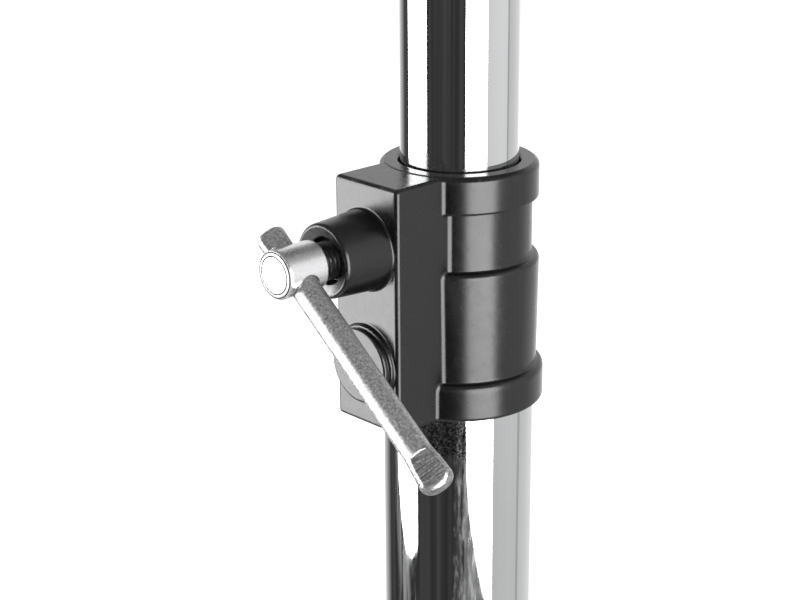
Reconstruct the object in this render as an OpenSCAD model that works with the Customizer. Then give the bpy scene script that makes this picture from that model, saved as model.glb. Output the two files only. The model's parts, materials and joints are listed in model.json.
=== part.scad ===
// Lighting stand: folding tripod base, two-section chromed mast, screw clamp and swivelling T-bar.
// Origin on the floor under the mast axis, +Z up. The T-bar and leg 1 lie along X,
// and the mast clamp faces -Y. Millimetres throughout.

/* [Mast tubes] */
// Outer diameter of the lower tube
lower_d = 50; // [48:0.5:56]
// Wall of the lower tube
lower_wall = 2; // [1.5:0.25:2.5]
// Length of the lower tube
lower_len = 1000; // [800:10:1400]
// Outer diameter of the upper tube
upper_d = 38; // [34:0.5:39]
// Wall of the upper tube
upper_wall = 2; // [1.5:0.25:3]
// Length of the upper tube
upper_len = 1155; // [900:5:1400]
// Height of the T-bar socket above the mast clamp
extension = 240; // [60:10:500]

/* [Mast clamp casting] */
// Height of the casting outside the lower tube
clamp_h = 80; // [76:1:100]
// Height of its top band
clamp_top_h = 11.85; // [8:0.05:13]
// Height of the neck under the top band
clamp_neck_h = 19.35; // [12:0.05:22]
// Height of the skirt round the lower tube
clamp_skirt_h = 12.2; // [10:0.1:18]
// Wall of the top band, from the upper tube outwards
clamp_top_wall = 6.5; // [5:0.1:9]
// Wall of the neck, from the upper tube outwards
clamp_neck_wall = 4.46; // [3.4:0.02:5.5]
// Wall of the middle band, from the upper tube outwards
clamp_mid_wall = 6.84; // [6:0.02:8]
// Draft of the middle band, over its height
clamp_mid_draft = 0.48; // [0:0.02:0.8]
// Wall of the skirt, from the lower tube outwards
clamp_skirt_wall = 2.7; // [2:0.1:5]
// Length of the spigot inside the lower tube
clamp_spigot = 41; // [20:1:60]
// Width of the screw block
block_w = 28.4; // [24:0.2:34]
// Distance of the block's end face from the mast axis
block_reach = 40.8; // [34:0.2:48]
// Edge radius of the block
block_edge = 1.6; // [0.5:0.1:3]
// Fillet where the block meets the bands
block_fillet = 1; // [0.5:0.1:2.5]
// Depth of the screw axis under the casting's top
boss_drop = 21.6; // [16:0.2:30]
// Length of the screw boss
boss_len = 18.1; // [10:0.1:24]
// Radius of the screw boss at the block
boss_r = 12.9; // [11:0.1:14]
// Depth of the blank boss under the screw boss
blank_drop = 37.7; // [32:0.1:44]
// Radius of the blank boss at the block
blank_r = 13.1; // [10:0.1:14]
// Height of the blank boss
blank_h = 3.7; // [1.5:0.1:6]

/* [Clamp screws] */
// Radius of the clamp screws' thread
screw_r = 6; // [5:0.25:7]
// Radius of the clamp screws' heads
head_r = 7.7; // [7:0.1:9]
// Length of the clamp screws' heads
head_len = 15; // [13:0.5:20]
// Gap between head and boss with the screw done up
head_gap = 3.6; // [2.5:0.1:8]
// Radius of the tommy bars
bar_r = 4.44; // [3.5:0.02:5]
// Length of the tommy bars over their ends
bar_len = 96.2; // [80:0.2:130]
// Length of the pressed flat at a bar's lower end
bar_flat = 12.4; // [8:0.2:16]
// Length of the pressed flat at its upper end
bar_top_flat = 6.6; // [5:0.2:12]
// Angle of the bars under the horizontal
bar_tilt = 38.6; // [0:0.2:80]
// Turn of the pressed flats about the bar
flat_turn = 49; // [0:1:90]
// Length of the pressure pads
pad_len = 6; // [4:0.5:8]
// Radius of the pressure pads
pad_r = 5.7; // [4:0.1:5.9]

/* [Tripod base] */
// Distance of the leg and brace pivots from the mast axis
pivot_reach = 46; // [44:0.5:54]
// Angle of the open legs from the mast
leg_angle = 55; // [45:0.5:60]
// Distance between the two pivots of a brace
brace_len = 270; // [220:5:290]
// Length of a leg from its pivot to the end of its tube
leg_len = 640; // [600:5:660]
// Width of the square leg tube
leg_w = 25; // [22:0.5:27]
// Wall of the leg tube
leg_wall = 1.5; // [1.2:0.1:2.5]
// Height of the leg's end above the floor, on its centre line
foot_lift = 18; // [16:0.5:24]
// Wall of the rubber feet
foot_wall = 3; // [2:0.5:5]
// Length of leg held in a rubber foot
foot_grip = 42; // [30:1:60]
// Width of the brace bars
brace_w = 20; // [16:1:24]
// Thickness of the brace bars
brace_t = 3; // [2:0.5:4]
// Radius of the pivot bolts
bolt_r = 4; // [3:0.25:5]
// Height of the base hub
hub_h = 44; // [36:1:60]
// Wall of the base hub and of the leg collar's sleeve
hub_wall = 6; // [4.5:0.5:8]
// Thickness of the leg collar's ears
ear_t = 5; // [4:0.5:8]
// Height of the leg collar
slider_h = 82; // [78:1:100]
// Height of the leg collar's screw above its pivots
slider_screw = 48; // [42:1:56]
// Distance of its screw block's end face from the mast axis
slider_reach = 39; // [36:0.5:46]
// Length of its screw boss
slider_boss = 12; // [8:0.5:18]

/* [T-bar] */
// Length of the T-bar
tbar_len = 1200; // [900:10:1500]
// Width of the square T-bar tube
tbar_w = 30; // [25:1:40]
// Wall of the T-bar tube
tbar_wall = 2; // [1.5:0.25:3]
// Distance of the outer lamp holes from the bar's ends
lamp_inset = 45; // [25:1:90]
// Radius of the lamp holes
lamp_hole_r = 5.5; // [4:0.25:7]
// Length of the T-bar's socket
socket_len = 95; // [85:1:130]
// Wall of the socket
socket_wall = 4; // [3:0.25:6]
// Height of the socket's screw above its lower end
socket_screw = 60; // [56:1:64]
// Distance of the socket's boss face from the mast axis
socket_reach = 38; // [34:0.5:42]
// Length of the saddle plate
saddle_len = 120; // [100:2:160]
// Thickness of the saddle plate and its gussets
saddle_t = 5; // [3:0.5:8]

/* [Fits] */
// Radial clearance of pieces that slide or turn on each other
run_gap = 0.06; // [0.03:0.01:0.1]
// Clearance of pieces that are fixed together
seat_gap = 0.03; // [0.01:0.01:0.05]
// Gap between loose neighbours that move past each other
side_gap = 0.5; // [0.3:0.1:0.8]
// Wall of the plastic bushes
bush_wall = 1.9; // [1.2:0.1:2.2]

/* [Hidden] */
$fn = 96;

lower_r = lower_d / 2;
lower_bore = lower_r - lower_wall;
upper_r = upper_d / 2;
upper_bore = upper_r - upper_wall;

// Directions round the mast, in degrees from +X
clamp_dir = -90;
slider_dir = -60;
leg_dirs = [0, 120, 240];

// Seat of the casting on the lower tube, and flange of the plug under it
tube_seat = 1.2;
plug_flange = 2;

// Heights, from the floor upwards
pivot_rise = 2 * brace_len * cos(leg_angle);
slider_z = foot_lift + leg_len * cos(leg_angle);
hub_z = slider_z - pivot_rise;
lower_z = hub_z - hub_h / 2 + plug_flange;
clamp_z = lower_z + lower_len + clamp_h - clamp_skirt_h + tube_seat;
socket_z = clamp_z + extension;
tbar_z = socket_z + socket_len + saddle_t;

// Pieces of the mast
bush_r = upper_r + run_gap + bush_wall;
clamp_bore = bush_r + seat_gap;
mouth_r = upper_r + 0.5;
mouth_lip = 2.5;
spigot_r = lower_bore - seat_gap;
plug_h = 15;
plug_wall = 3;
cap_t = 2;
cap_plug = 20;
cap_gap = 0.2;
upper_top = socket_z + socket_len - cap_t - cap_gap;
upper_z = upper_top - upper_len;
guide_h = 35;
guide_seat = 25;
guide_lip = 4;

// Pieces of the clamp screws
thread_r = screw_r + 0.05;
mouth_hole_r = screw_r + 1.5;
mouth_dish = 1.7;
mouth_flare = 3.4;
pad_gap = 0.3;
bar_hole_r = bar_r + 0.3;
bar_end_r = bar_r + 0.9;
bar_dome = 4;
bar_swell = 0.8;
bar_stop = head_r + 0.2;
flat_half = bar_r - 0.74;
clamp_mouth = block_reach + boss_len;
slider_mouth = slider_reach + slider_boss;

// Pieces of the base
hub_r = lower_r + hub_wall;
liner_r = lower_r + run_gap + bush_wall;
leg_half = leg_w / 2;
neck_len = leg_half + 1.5;
ear_in = leg_half + side_gap;
ear_out = ear_in + ear_t;
lug_r = brace_w / 2 + 1;
pin_hole_r = bolt_r + 0.05;
bolt_head = bolt_r * 1.3;
bolt_af = bolt_r * 3.25;
flange_r = bolt_af / 2 + 1.8;
flange_t = 1.6;
nut_h = bolt_r * 1.7;
brace_in = leg_half + side_gap;
brace_out = brace_in + brace_t;
slider_low = slider_z + slider_screw + 16 - slider_h;

// Pieces of the T-bar
saddle_bolt = saddle_len / 2 - 16;
saddle_w = tbar_w + 8;
cap_grip = 12;
lamp_pitch = (tbar_len - 2 * lamp_inset) / 3;
lamp_holes = [for (i = [0:3]) (i - 1.5) * lamp_pitch];

// Points along an arc, for outlines
function arc(c, r, from, to, n = 6) =
  [for (i = [0:n]) c + r * [cos(from + (to - from) * i / n), sin(from + (to - from) * i / n)]];

// The same along an ellipse of half axes rx and ry
function arc2(c, rx, ry, from, to, n = 6) =
  [for (i = [0:n]) let (t = from + (to - from) * i / n) c + [rx * cos(t), ry * sin(t)]];

// Point where a line from a touches the circle of radius r at c
function touch(a, c, r, side) =
  let (
    d = norm(c - a),
    dir = atan2(c[1] - a[1], c[0] - a[0]) + side * asin(r / d),
    l = sqrt(d * d - r * r)
  ) a + l * [cos(dir), sin(dir)];

// Point on the open leg, u along it from the pivot and v above its centre line
function on_leg(u, v) = [
  pivot_reach + u * sin(leg_angle) + v * cos(leg_angle),
  slider_z - u * cos(leg_angle) + v * sin(leg_angle)
];

// Radial frame of a clamp screw: x outwards, z up
module facing(dir, z) {
  translate([0, 0, z])
    rotate([0, 0, dir])
      children();
}

// Leg frame: x down the leg from its pivot, z square to it
module along_leg(i) {
  rotate([0, 0, leg_dirs[i]])
    translate([pivot_reach, 0, slider_z])
      rotate([0, 90 - leg_angle, 0])
        children();
}

// Brace frame: x up the brace from its hub pivot
module along_brace(i) {
  rotate([0, 0, leg_dirs[i]])
    translate([pivot_reach, 0, hub_z])
      rotate([0, leg_angle - 90, 0])
        children();
}

// Extrudes an outline drawn in x and z to both sides of the xz plane
module slab(t) {
  rotate([90, 0, 0])
    translate([0, 0, -t / 2])
      linear_extrude(t)
        children();
}

module rounded(w, h, r) {
  square([w - 2 * r, h], center = true);
  square([w, h - 2 * r], center = true);
  for (x = [-1, 1])
    for (y = [-1, 1])
      translate([x * (w / 2 - r), y * (h / 2 - r)])
        circle(r);
}

module square_tube(w, wall, r, len) {
  linear_extrude(len)
    difference() {
      rounded(w, w, r);
      rounded(w - 2 * wall, w - 2 * wall, max(r - wall, 0.5));
    }
}

// Block from the mast axis out to reach, with every outer edge rounded
module rounded_block(reach, w, low, high, r) {
  h = high - low;
  intersection() {
    translate([0, 0, low])
      linear_extrude(h)
        rounded(2 * reach, w, r);
    translate([0, 0, (low + high) / 2]) {
      slab(w + 2)
        rounded(2 * reach, h, r);
      rotate([90, 0, 90])
        linear_extrude(reach)
          rounded(w, h, r);
    }
  }
}

// Fillet between the block's two sides and a band of radius r
module block_fillets(r, low, high) {
  f = block_fillet;
  x = block_w / 2 + f;
  y = sqrt((r + f) * (r + f) - x * x);
  tip = [y, x] * r / (r + f);
  for (side = [-1, 1])
    translate([0, 0, low])
      linear_extrude(high - low)
        scale([1, side])
          difference() {
            polygon([[y, x - f - 2], [y, x], tip, [tip[0], x - f - 2]]);
            translate([y, x])
              circle(f);
          }
}

// Tapered boss on a screw block, with a rounded rim and a conical mouth
module screw_boss(len) {
  tip = boss_r - 0.058 * len;
  rim = 1;
  root = 1.2;
  rotate([0, 90, 0])
    rotate_extrude()
      polygon(concat(
        [[0, -4], [boss_r + root, -4], [boss_r + root, 0]],
        arc([boss_r + root, root], root, -90, -180, 4),
        arc([tip - rim, len - rim], rim, 3, 90, 5),
        [[0, len]]
      ));
}

// Hole that a screw boss carries, from inside out to its dished mouth
module screw_hole(from, mouth) {
  translate([from, 0, 0])
    rotate([0, 90, 0])
      cylinder(r = thread_r, h = mouth - from);
  translate([mouth - 6, 0, 0])
    rotate([0, 90, 0]) {
      cylinder(r = mouth_hole_r, h = 7);
      translate([0, 0, 6 - mouth_dish])
        cylinder(r1 = mouth_hole_r, r2 = mouth_hole_r + mouth_flare, h = mouth_dish + 0.05);
    }
}

// Low blank boss with a filleted foot and a rounded edge
module blank_boss() {
  root = 1;
  edge = 1.2;
  top = blank_r - 0.9;
  rotate([0, 90, 0])
    rotate_extrude()
      polygon(concat(
        [[0, -2], [blank_r + root, -2], [blank_r + root, 0]],
        arc([blank_r + root, root], root, -90, -175, 4),
        arc([top - edge, blank_h - edge], edge, 5, 90, 5),
        [[0, blank_h]]
      ));
}

// Clamp screw along x: shank, and a head cross-drilled for the bar
module tee_screw(tube_r, mouth) {
  tip = tube_r + pad_gap + pad_len + 0.1;
  head = mouth + head_gap;
  end = head + head_len;
  difference() {
    rotate([0, 90, 0])
      rotate_extrude()
        polygon([
          [0, tip], [screw_r - 1.2, tip], [screw_r, tip + 1.2], [screw_r, head],
          [head_r - 1.3, head], [head_r, head + 1.5],
          [head_r, end - 1.2], [head_r - 0.3, end - 0.9], [head_r - 1, end], [0, end]
        ]);
    translate([head + head_len / 2, 0, 0])
      rotate([90 - bar_tilt, 0, 0])
        cylinder(r = bar_hole_r, h = 4 * head_r, center = true);
  }
}

// Tommy bar through the head at x, slid down to the stop of its upper flat
module tommy_bar(mouth) {
  low = bar_len - bar_stop - bar_top_flat;
  top = low - bar_len;
  translate([mouth + head_gap + head_len / 2, 0, 0])
    rotate([-bar_tilt, 0, 0])
      difference() {
        rotate([-90, 0, 0])
          rotate_extrude()
            polygon(concat(
              arc2([0, top + bar_dome], bar_end_r, bar_dome, -90, 0),
              [[bar_r, top + bar_top_flat + bar_swell], [bar_r, low - bar_flat - bar_swell]],
              arc2([0, low - bar_dome], bar_end_r, bar_dome, 0, 90)
            ));
        for (y = [low - bar_flat, top + bar_top_flat - bar_len / 2])
          for (side = [-1, 1])
            translate([0, y, 0])
              rotate([0, -flat_turn, 0])
                translate([side > 0 ? flat_half : -flat_half - 5, 0, -10])
                  cube([5, bar_len / 2, 20]);
      }
}

// Pad between the screw's tip and the tube, hollowed to the tube
module pressure_pad(tube_r) {
  difference() {
    translate([tube_r - 3, 0, 0])
      rotate([0, 90, 0])
        cylinder(r = pad_r, h = pad_len + pad_gap + 3);
    cylinder(r = tube_r + pad_gap, h = 30, center = true);
  }
}

// Flanged hexagon bolt, head upwards with its seat at z = 0
module bolt(grip) {
  intersection() {
    cylinder(d = bolt_af / cos(30), h = bolt_head, $fn = 6);
    rotate_extrude()
      polygon([
        [0, 0], [bolt_af, 0], [bolt_af, bolt_head - 2],
        [bolt_af / 2 - 0.3, bolt_head], [0, bolt_head]
      ]);
  }
  cylinder(r1 = flange_r, r2 = flange_r - 0.8, h = flange_t);
  translate([0, 0, -grip - nut_h - 3])
    cylinder(r = bolt_r, h = grip + nut_h + 3.5);
}

// Flanged nut with a collar, seated at z = 0 and reaching downwards
module nut() {
  difference() {
    translate([0, 0, -nut_h]) {
      intersection() {
        cylinder(d = bolt_af / cos(30), h = nut_h, $fn = 6);
        rotate_extrude()
          polygon([
            [0, 0], [bolt_af / 2 - 0.3, 0], [bolt_af / 2 + 1.2, 1],
            [bolt_af / 2 + 1.2, nut_h], [0, nut_h]
          ]);
      }
      translate([0, 0, nut_h - flange_t])
        cylinder(r1 = flange_r - 0.8, r2 = flange_r, h = flange_t);
      translate([0, 0, -1.5])
        cylinder(r = bolt_af / 2 - 1.2, h = 2);
    }
    cylinder(r = bolt_r + seat_gap, h = 4 * nut_h, center = true);
  }
}

// Pivot bolt along y, with its head and its nut seated half away from the middle
module pivot_bolt(half) {
  translate([0, half, 0])
    rotate([-90, 0, 0])
      bolt(2 * half);
}

module pivot_nut(half) {
  translate([0, -half, 0])
    rotate([-90, 0, 0])
      nut();
}

// Hole for a pivot bolt along y
module pivot_hole(len) {
  rotate([90, 0, 0])
    cylinder(r = pin_hole_r, h = len, center = true);
}

// Outline of a lug round a pivot, running tangentially into a body
module lug(z, root, up, down) {
  c = [pivot_reach, z];
  a = [root, z + up];
  b = [root, z - down];
  translate(c)
    circle(lug_r);
  polygon([a, touch(a, c, lug_r, 1), c, touch(b, c, lug_r, -1), b]);
}

// Mast

module lower_tube() {
  color("silver")
    translate([0, 0, lower_z])
      difference() {
        cylinder(r = lower_r, h = lower_len);
        translate([0, 0, -1])
          cylinder(r = lower_bore, h = lower_len + 2);
      }
}

// Outline of the clamp casting, from its top down
function clamp_outline() =
  let (
    top = upper_r + clamp_top_wall,
    neck = upper_r + clamp_neck_wall,
    mid = upper_r + clamp_mid_wall,
    low = mid - clamp_mid_draft,
    skirt = lower_r + clamp_skirt_wall,
    z1 = -clamp_top_h,
    z2 = z1 - clamp_neck_h,
    z3 = clamp_skirt_h - clamp_h,
    root = 0.8,
    e1 = 1.8,
    e2 = mid - neck - root,
    e3 = skirt - low - root
  ) concat(
    [[0, 0]],
    arc([top - e1, -e1], e1, 90, 0),
    arc([top - 0.5, z1 + 0.5], 0.5, 0, -90, 3),
    arc([neck + root, z1 - root], root, 90, 180, 4),
    arc([neck + root, z2 + root], root, 180, 270, 4),
    arc2([neck + root, z2 - 1.8], e2, 1.8, 90, 0),
    arc([low + root, z3 + root], root, 180, 270, 4),
    arc2([low + root, z3 - 2.4], e3, 2.4, 90, 0),
    arc([skirt - 1, 1 - clamp_h], 1, 0, -90, 4),
    [[0, -clamp_h]]
  );

module clamp_collar() {
  tube_end = clamp_skirt_h - clamp_h - tube_seat;
  neck = upper_r + clamp_neck_wall;
  color([0.13, 0.13, 0.14])
    facing(clamp_dir, clamp_z)
      difference() {
        union() {
          difference() {
            union() {
              rotate_extrude()
                polygon(clamp_outline());
              rounded_block(block_reach, block_w, -clamp_h, -0.25, block_edge);
              block_fillets(upper_r + clamp_top_wall, -clamp_top_h + 0.5, -1.8);
              block_fillets(neck, -clamp_top_h - clamp_neck_h, -clamp_top_h);
              block_fillets(
                upper_r + clamp_mid_wall - clamp_mid_draft / 2,
                clamp_skirt_h - clamp_h, -clamp_top_h - clamp_neck_h - 1.8
              );
              block_fillets(lower_r + clamp_skirt_wall, 1 - clamp_h, clamp_skirt_h - clamp_h - 2.4);
              translate([block_reach, 0, -boss_drop])
                screw_boss(boss_len);
              translate([block_reach, 0, -boss_drop - blank_drop])
                blank_boss();
            }
            translate([0, 0, -clamp_h - 1])
              cylinder(r = lower_r + seat_gap, h = tube_end + clamp_h + 1);
          }
          translate([0, 0, tube_end - clamp_spigot])
            cylinder(r = spigot_r, h = clamp_spigot + 1);
        }
        translate([0, 0, tube_end - clamp_spigot - 1])
          cylinder(r = clamp_bore, h = clamp_spigot - tube_end + 1 - mouth_lip);
        translate([0, 0, -mouth_lip - 1])
          cylinder(r = mouth_r, h = mouth_lip + 2);
        translate([0, 0, -0.6])
          cylinder(r1 = mouth_r, r2 = mouth_r + 1.2, h = 1.2);
        translate([0, 0, -boss_drop])
          screw_hole(upper_r, clamp_mouth);
      }
}

module collar_bush() {
  low = clamp_skirt_h - clamp_h - tube_seat - clamp_spigot;
  color([0.06, 0.06, 0.06])
    facing(clamp_dir, clamp_z)
      difference() {
        translate([0, 0, low])
          cylinder(r = bush_r, h = -low - mouth_lip);
        translate([0, 0, low - 1])
          cylinder(r = upper_r + run_gap, h = 2 - low);
        translate([0, 0, -boss_drop])
          rotate([0, 90, 0])
            cylinder(r = thread_r, h = 2 * upper_r);
      }
}

module tube_plug() {
  color([0.06, 0.06, 0.06])
    translate([0, 0, lower_z])
      difference() {
        union() {
          cylinder(r = lower_bore - seat_gap, h = plug_h);
          translate([0, 0, -plug_flange])
            cylinder(r = lower_r, h = plug_flange);
        }
        translate([0, 0, plug_flange])
          cylinder(r = lower_bore - plug_wall, h = plug_h);
      }
}

module base_hub() {
  low = -hub_h / 2;
  waist = hub_r - 1.5;
  color([0.13, 0.13, 0.14])
    translate([0, 0, hub_z])
      difference() {
        union() {
          rotate_extrude()
            polygon(concat(
              [[0, low]],
              arc([hub_r - 1.5, low + 1.5], 1.5, -90, 0, 4),
              [[hub_r, low + 9], [waist, low + 11], [waist, -low - 11], [hub_r, -low - 9]],
              arc([hub_r - 1.5, -low - 1.5], 1.5, 0, 90, 4),
              [[0, -low]]
            ));
          for (dir = leg_dirs)
            rotate([0, 0, dir])
              slab(leg_w)
                lug(0, lower_r + 2, hub_h / 2 - 2, hub_h / 2 - 2);
        }
        cylinder(r = lower_r + seat_gap, h = 2 * hub_h, center = true);
        for (dir = leg_dirs)
          rotate([0, 0, dir])
            translate([pivot_reach, 0, 0])
              pivot_hole(2 * leg_w);
      }
}

module hub_bolts() {
  color("gray")
    for (i = [0:2])
      along_brace(i)
        pivot_bolt(brace_out + 0.2);
}

module hub_nuts() {
  color("gray")
    for (i = [0:2])
      along_brace(i)
        pivot_nut(brace_out + 0.2);
}

module upper_tube() {
  color("silver")
    translate([0, 0, upper_z])
      difference() {
        cylinder(r = upper_r, h = upper_len);
        translate([0, 0, -1])
          cylinder(r = upper_bore, h = upper_len + 2);
      }
}

module guide_bush() {
  color([0.06, 0.06, 0.06])
    translate([0, 0, upper_z])
      difference() {
        translate([0, 0, guide_seat - guide_h])
          cylinder(r = lower_bore - run_gap, h = guide_h);
        cylinder(r = upper_r + seat_gap, h = guide_h);
        translate([0, 0, -guide_h])
          cylinder(r = upper_bore - guide_lip, h = 2 * guide_h);
      }
}

module tube_cap() {
  color([0.06, 0.06, 0.06])
    translate([0, 0, upper_top]) {
      cylinder(r = upper_r, h = cap_t);
      translate([0, 0, -cap_plug])
        cylinder(r = upper_bore - seat_gap, h = cap_plug);
    }
}

// Clamp screw of the mast

module clamp_pad() {
  color("goldenrod")
    facing(clamp_dir, clamp_z - boss_drop)
      pressure_pad(upper_r);
}

module clamp_screw() {
  color("silver")
    facing(clamp_dir, clamp_z - boss_drop)
      tee_screw(upper_r, clamp_mouth);
}

module clamp_bar() {
  color("lightgray")
    facing(clamp_dir, clamp_z - boss_drop)
      tommy_bar(clamp_mouth);
}

// T-bar

module tbar_socket() {
  r = upper_r + run_gap + socket_wall;
  gusset = saddle_bolt - 10;
  gusset_h = 38;
  boss = screw_r + 5;
  color([0.13, 0.13, 0.14])
    translate([0, 0, socket_z])
      difference() {
        union() {
          cylinder(r = r, h = socket_len + 1);
          translate([0, 0, socket_len])
            linear_extrude(saddle_t)
              rounded(saddle_len, saddle_w, 6);
          for (side = [0, 180])
            rotate([0, 0, side])
              slab(saddle_t)
                polygon([
                  [upper_r + 2, socket_len + 1], [gusset, socket_len + 1], [gusset, socket_len - 3],
                  [r, socket_len - gusset_h], [upper_r + 2, socket_len - gusset_h]
                ]);
          facing(clamp_dir, socket_screw)
            rotate([0, 90, 0])
              rotate_extrude()
                polygon(concat(
                  [[0, upper_r + 2], [boss + 1, upper_r + 2]],
                  arc([boss, socket_reach - 1], 1, 0, 90, 4),
                  [[0, socket_reach]]
                ));
        }
        translate([0, 0, -1])
          cylinder(r = upper_r + run_gap, h = socket_len + 1);
        facing(clamp_dir, socket_screw)
          translate([upper_r - 2, 0, 0])
            rotate([0, 90, 0])
              cylinder(r = thread_r, h = socket_reach);
        for (x = [-saddle_bolt, saddle_bolt])
          translate([x, 0, socket_len - 1])
            cylinder(r = pin_hole_r, h = 2 * saddle_t);
      }
}

module crossbar() {
  color([0.16, 0.16, 0.17])
    translate([0, 0, tbar_z + tbar_w / 2])
      difference() {
        rotate([0, 90, 0])
          translate([0, 0, -tbar_len / 2])
            square_tube(tbar_w, tbar_wall, 3, tbar_len);
        for (x = lamp_holes)
          translate([x, 0, 0])
            cylinder(r = lamp_hole_r, h = 2 * tbar_w, center = true);
        for (x = [-saddle_bolt, saddle_bolt])
          translate([x, 0, 0])
            cylinder(r = pin_hole_r, h = 2 * tbar_w, center = true);
      }
}

module tbar_end_caps() {
  inner = tbar_w - 2 * tbar_wall - 2 * seat_gap;
  color([0.06, 0.06, 0.06])
    for (side = [0, 180])
      rotate([0, 0, side])
        translate([tbar_len / 2, 0, tbar_z + tbar_w / 2])
          rotate([0, 90, 0]) {
            linear_extrude(2)
              rounded(tbar_w, tbar_w, 3);
            translate([0, 0, 2])
              linear_extrude(1)
                rounded(tbar_w - 2, tbar_w - 2, 2.5);
            translate([0, 0, -cap_grip])
              linear_extrude(cap_grip)
                rounded(inner, inner, 1.2);
          }
}

module tbar_bolts() {
  color("gray")
    for (x = [-saddle_bolt, saddle_bolt])
      translate([x, 0, tbar_z + tbar_w])
        bolt(tbar_w + saddle_t);
}

module tbar_nuts() {
  color("gray")
    for (x = [-saddle_bolt, saddle_bolt])
      translate([x, 0, socket_z + socket_len])
        nut();
}

module tbar_pad() {
  color("goldenrod")
    facing(clamp_dir, socket_z + socket_screw)
      pressure_pad(upper_r);
}

module tbar_screw() {
  color("silver")
    facing(clamp_dir, socket_z + socket_screw)
      tee_screw(upper_r, socket_reach);
}

module tbar_handle() {
  color("lightgray")
    facing(clamp_dir, socket_z + socket_screw)
      tommy_bar(socket_reach);
}

// Leg collar

module leg_collar() {
  top = slider_low + slider_h;
  waist = hub_r - 1.5;
  color([0.13, 0.13, 0.14])
    difference() {
      union() {
        rotate_extrude()
          polygon(concat(
            [[0, slider_low]],
            arc([hub_r - 1.5, slider_low + 1.5], 1.5, -90, 0, 4),
            [[hub_r, slider_low + 34], [waist, slider_low + 36], [waist, top - 14], [hub_r, top - 12]],
            arc([hub_r - 1.8, top - 1.8], 1.8, 0, 90, 4),
            [[0, top]]
          ));
        for (dir = leg_dirs)
          rotate([0, 0, dir])
            for (y = [-1, 1])
              translate([0, y * (ear_in + ear_out) / 2, 0])
                slab(ear_t)
                  lug(slider_z, lower_r + 1, 17, 16);
        facing(slider_dir, 0) {
          rounded_block(slider_reach, block_w, slider_z + slider_screw - 17, top - 0.25, block_edge);
          translate([slider_reach, 0, slider_z + slider_screw])
            screw_boss(slider_boss);
        }
      }
      translate([0, 0, slider_low - 1])
        cylinder(r = liner_r + seat_gap, h = slider_h + 2);
      for (dir = leg_dirs)
        rotate([0, 0, dir])
          translate([pivot_reach, 0, slider_z])
            pivot_hole(4 * leg_w);
      facing(slider_dir, slider_z + slider_screw)
        screw_hole(lower_r, slider_mouth);
    }
}

module collar_liner() {
  color([0.06, 0.06, 0.06])
    difference() {
      union() {
        translate([0, 0, slider_low])
          cylinder(r = liner_r, h = slider_h);
        translate([0, 0, slider_low + slider_h])
          cylinder(r1 = liner_r + 1.5, r2 = liner_r + 0.9, h = 1.6);
      }
      translate([0, 0, slider_low - 1])
        cylinder(r = lower_r + run_gap, h = slider_h + 4);
      facing(slider_dir, slider_z + slider_screw)
        rotate([0, 90, 0])
          cylinder(r = thread_r, h = 2 * lower_r);
    }
}

module collar_bolts() {
  color("gray")
    for (i = [0:2])
      along_leg(i)
        pivot_bolt(ear_out);
}

module collar_nuts() {
  color("gray")
    for (i = [0:2])
      along_leg(i)
        pivot_nut(ear_out);
}

module leg_pad() {
  color("goldenrod")
    facing(slider_dir, slider_z + slider_screw)
      pressure_pad(lower_r);
}

module leg_screw() {
  color("silver")
    facing(slider_dir, slider_z + slider_screw)
      tee_screw(lower_r, slider_mouth);
}

module leg_bar() {
  color("lightgray")
    facing(slider_dir, slider_z + slider_screw)
      tommy_bar(slider_mouth);
}

// Legs and braces

// Pair of flat bars that straddles the hub's lug and the leg
module brace(i) {
  color("silver")
    along_brace(i)
      for (y = [-1, 1])
        translate([0, y * (brace_in + brace_out) / 2, 0])
          slab(brace_t)
            difference() {
              union() {
                translate([0, -brace_w / 2])
                  square([brace_len, brace_w]);
                for (x = [0, brace_len])
                  translate([x, 0])
                    circle(brace_w / 2);
              }
              for (x = [0, brace_len])
                translate([x, 0])
                  circle(pin_hole_r);
            }
}

module leg(i) {
  color("silver")
    along_leg(i)
      difference() {
        translate([neck_len, 0, 0])
          rotate([0, 90, 0])
            square_tube(leg_w, leg_wall, 3, leg_len - neck_len);
        translate([brace_len, 0, 0])
          pivot_hole(2 * leg_w);
      }
}

// Fitting in the top of a leg, rounded about its pivot
module knuckle(i) {
  inner = leg_w - 2 * leg_wall - 2 * seat_gap;
  color([0.06, 0.06, 0.06])
    along_leg(i)
      difference() {
        union() {
          slab(leg_w) {
            circle(leg_half);
            translate([0, -leg_half])
              square([neck_len, leg_w]);
          }
          translate([neck_len, 0, 0])
            rotate([0, 90, 0])
              linear_extrude(28)
                rounded(inner, inner, 1.5);
        }
        pivot_hole(2 * leg_w);
      }
}

// Outline of a rubber foot in the plane of its leg
function foot_outline() =
  let (
    h = leg_half + foot_wall,
    end = on_leg(leg_len, 0),
    toe = 4,
    heel = 3
  ) concat(
    [on_leg(leg_len - foot_grip, -h), on_leg(leg_len - foot_grip, h)],
    arc(on_leg(leg_len + 4, h - 5), 5, leg_angle, leg_angle - 90),
    arc([end[0] + 12, toe], toe, 0, -90, 5),
    arc([end[0] - 19, heel], heel, -90, -180, 4),
    [on_leg(leg_len - 24, -h)]
  );

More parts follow.
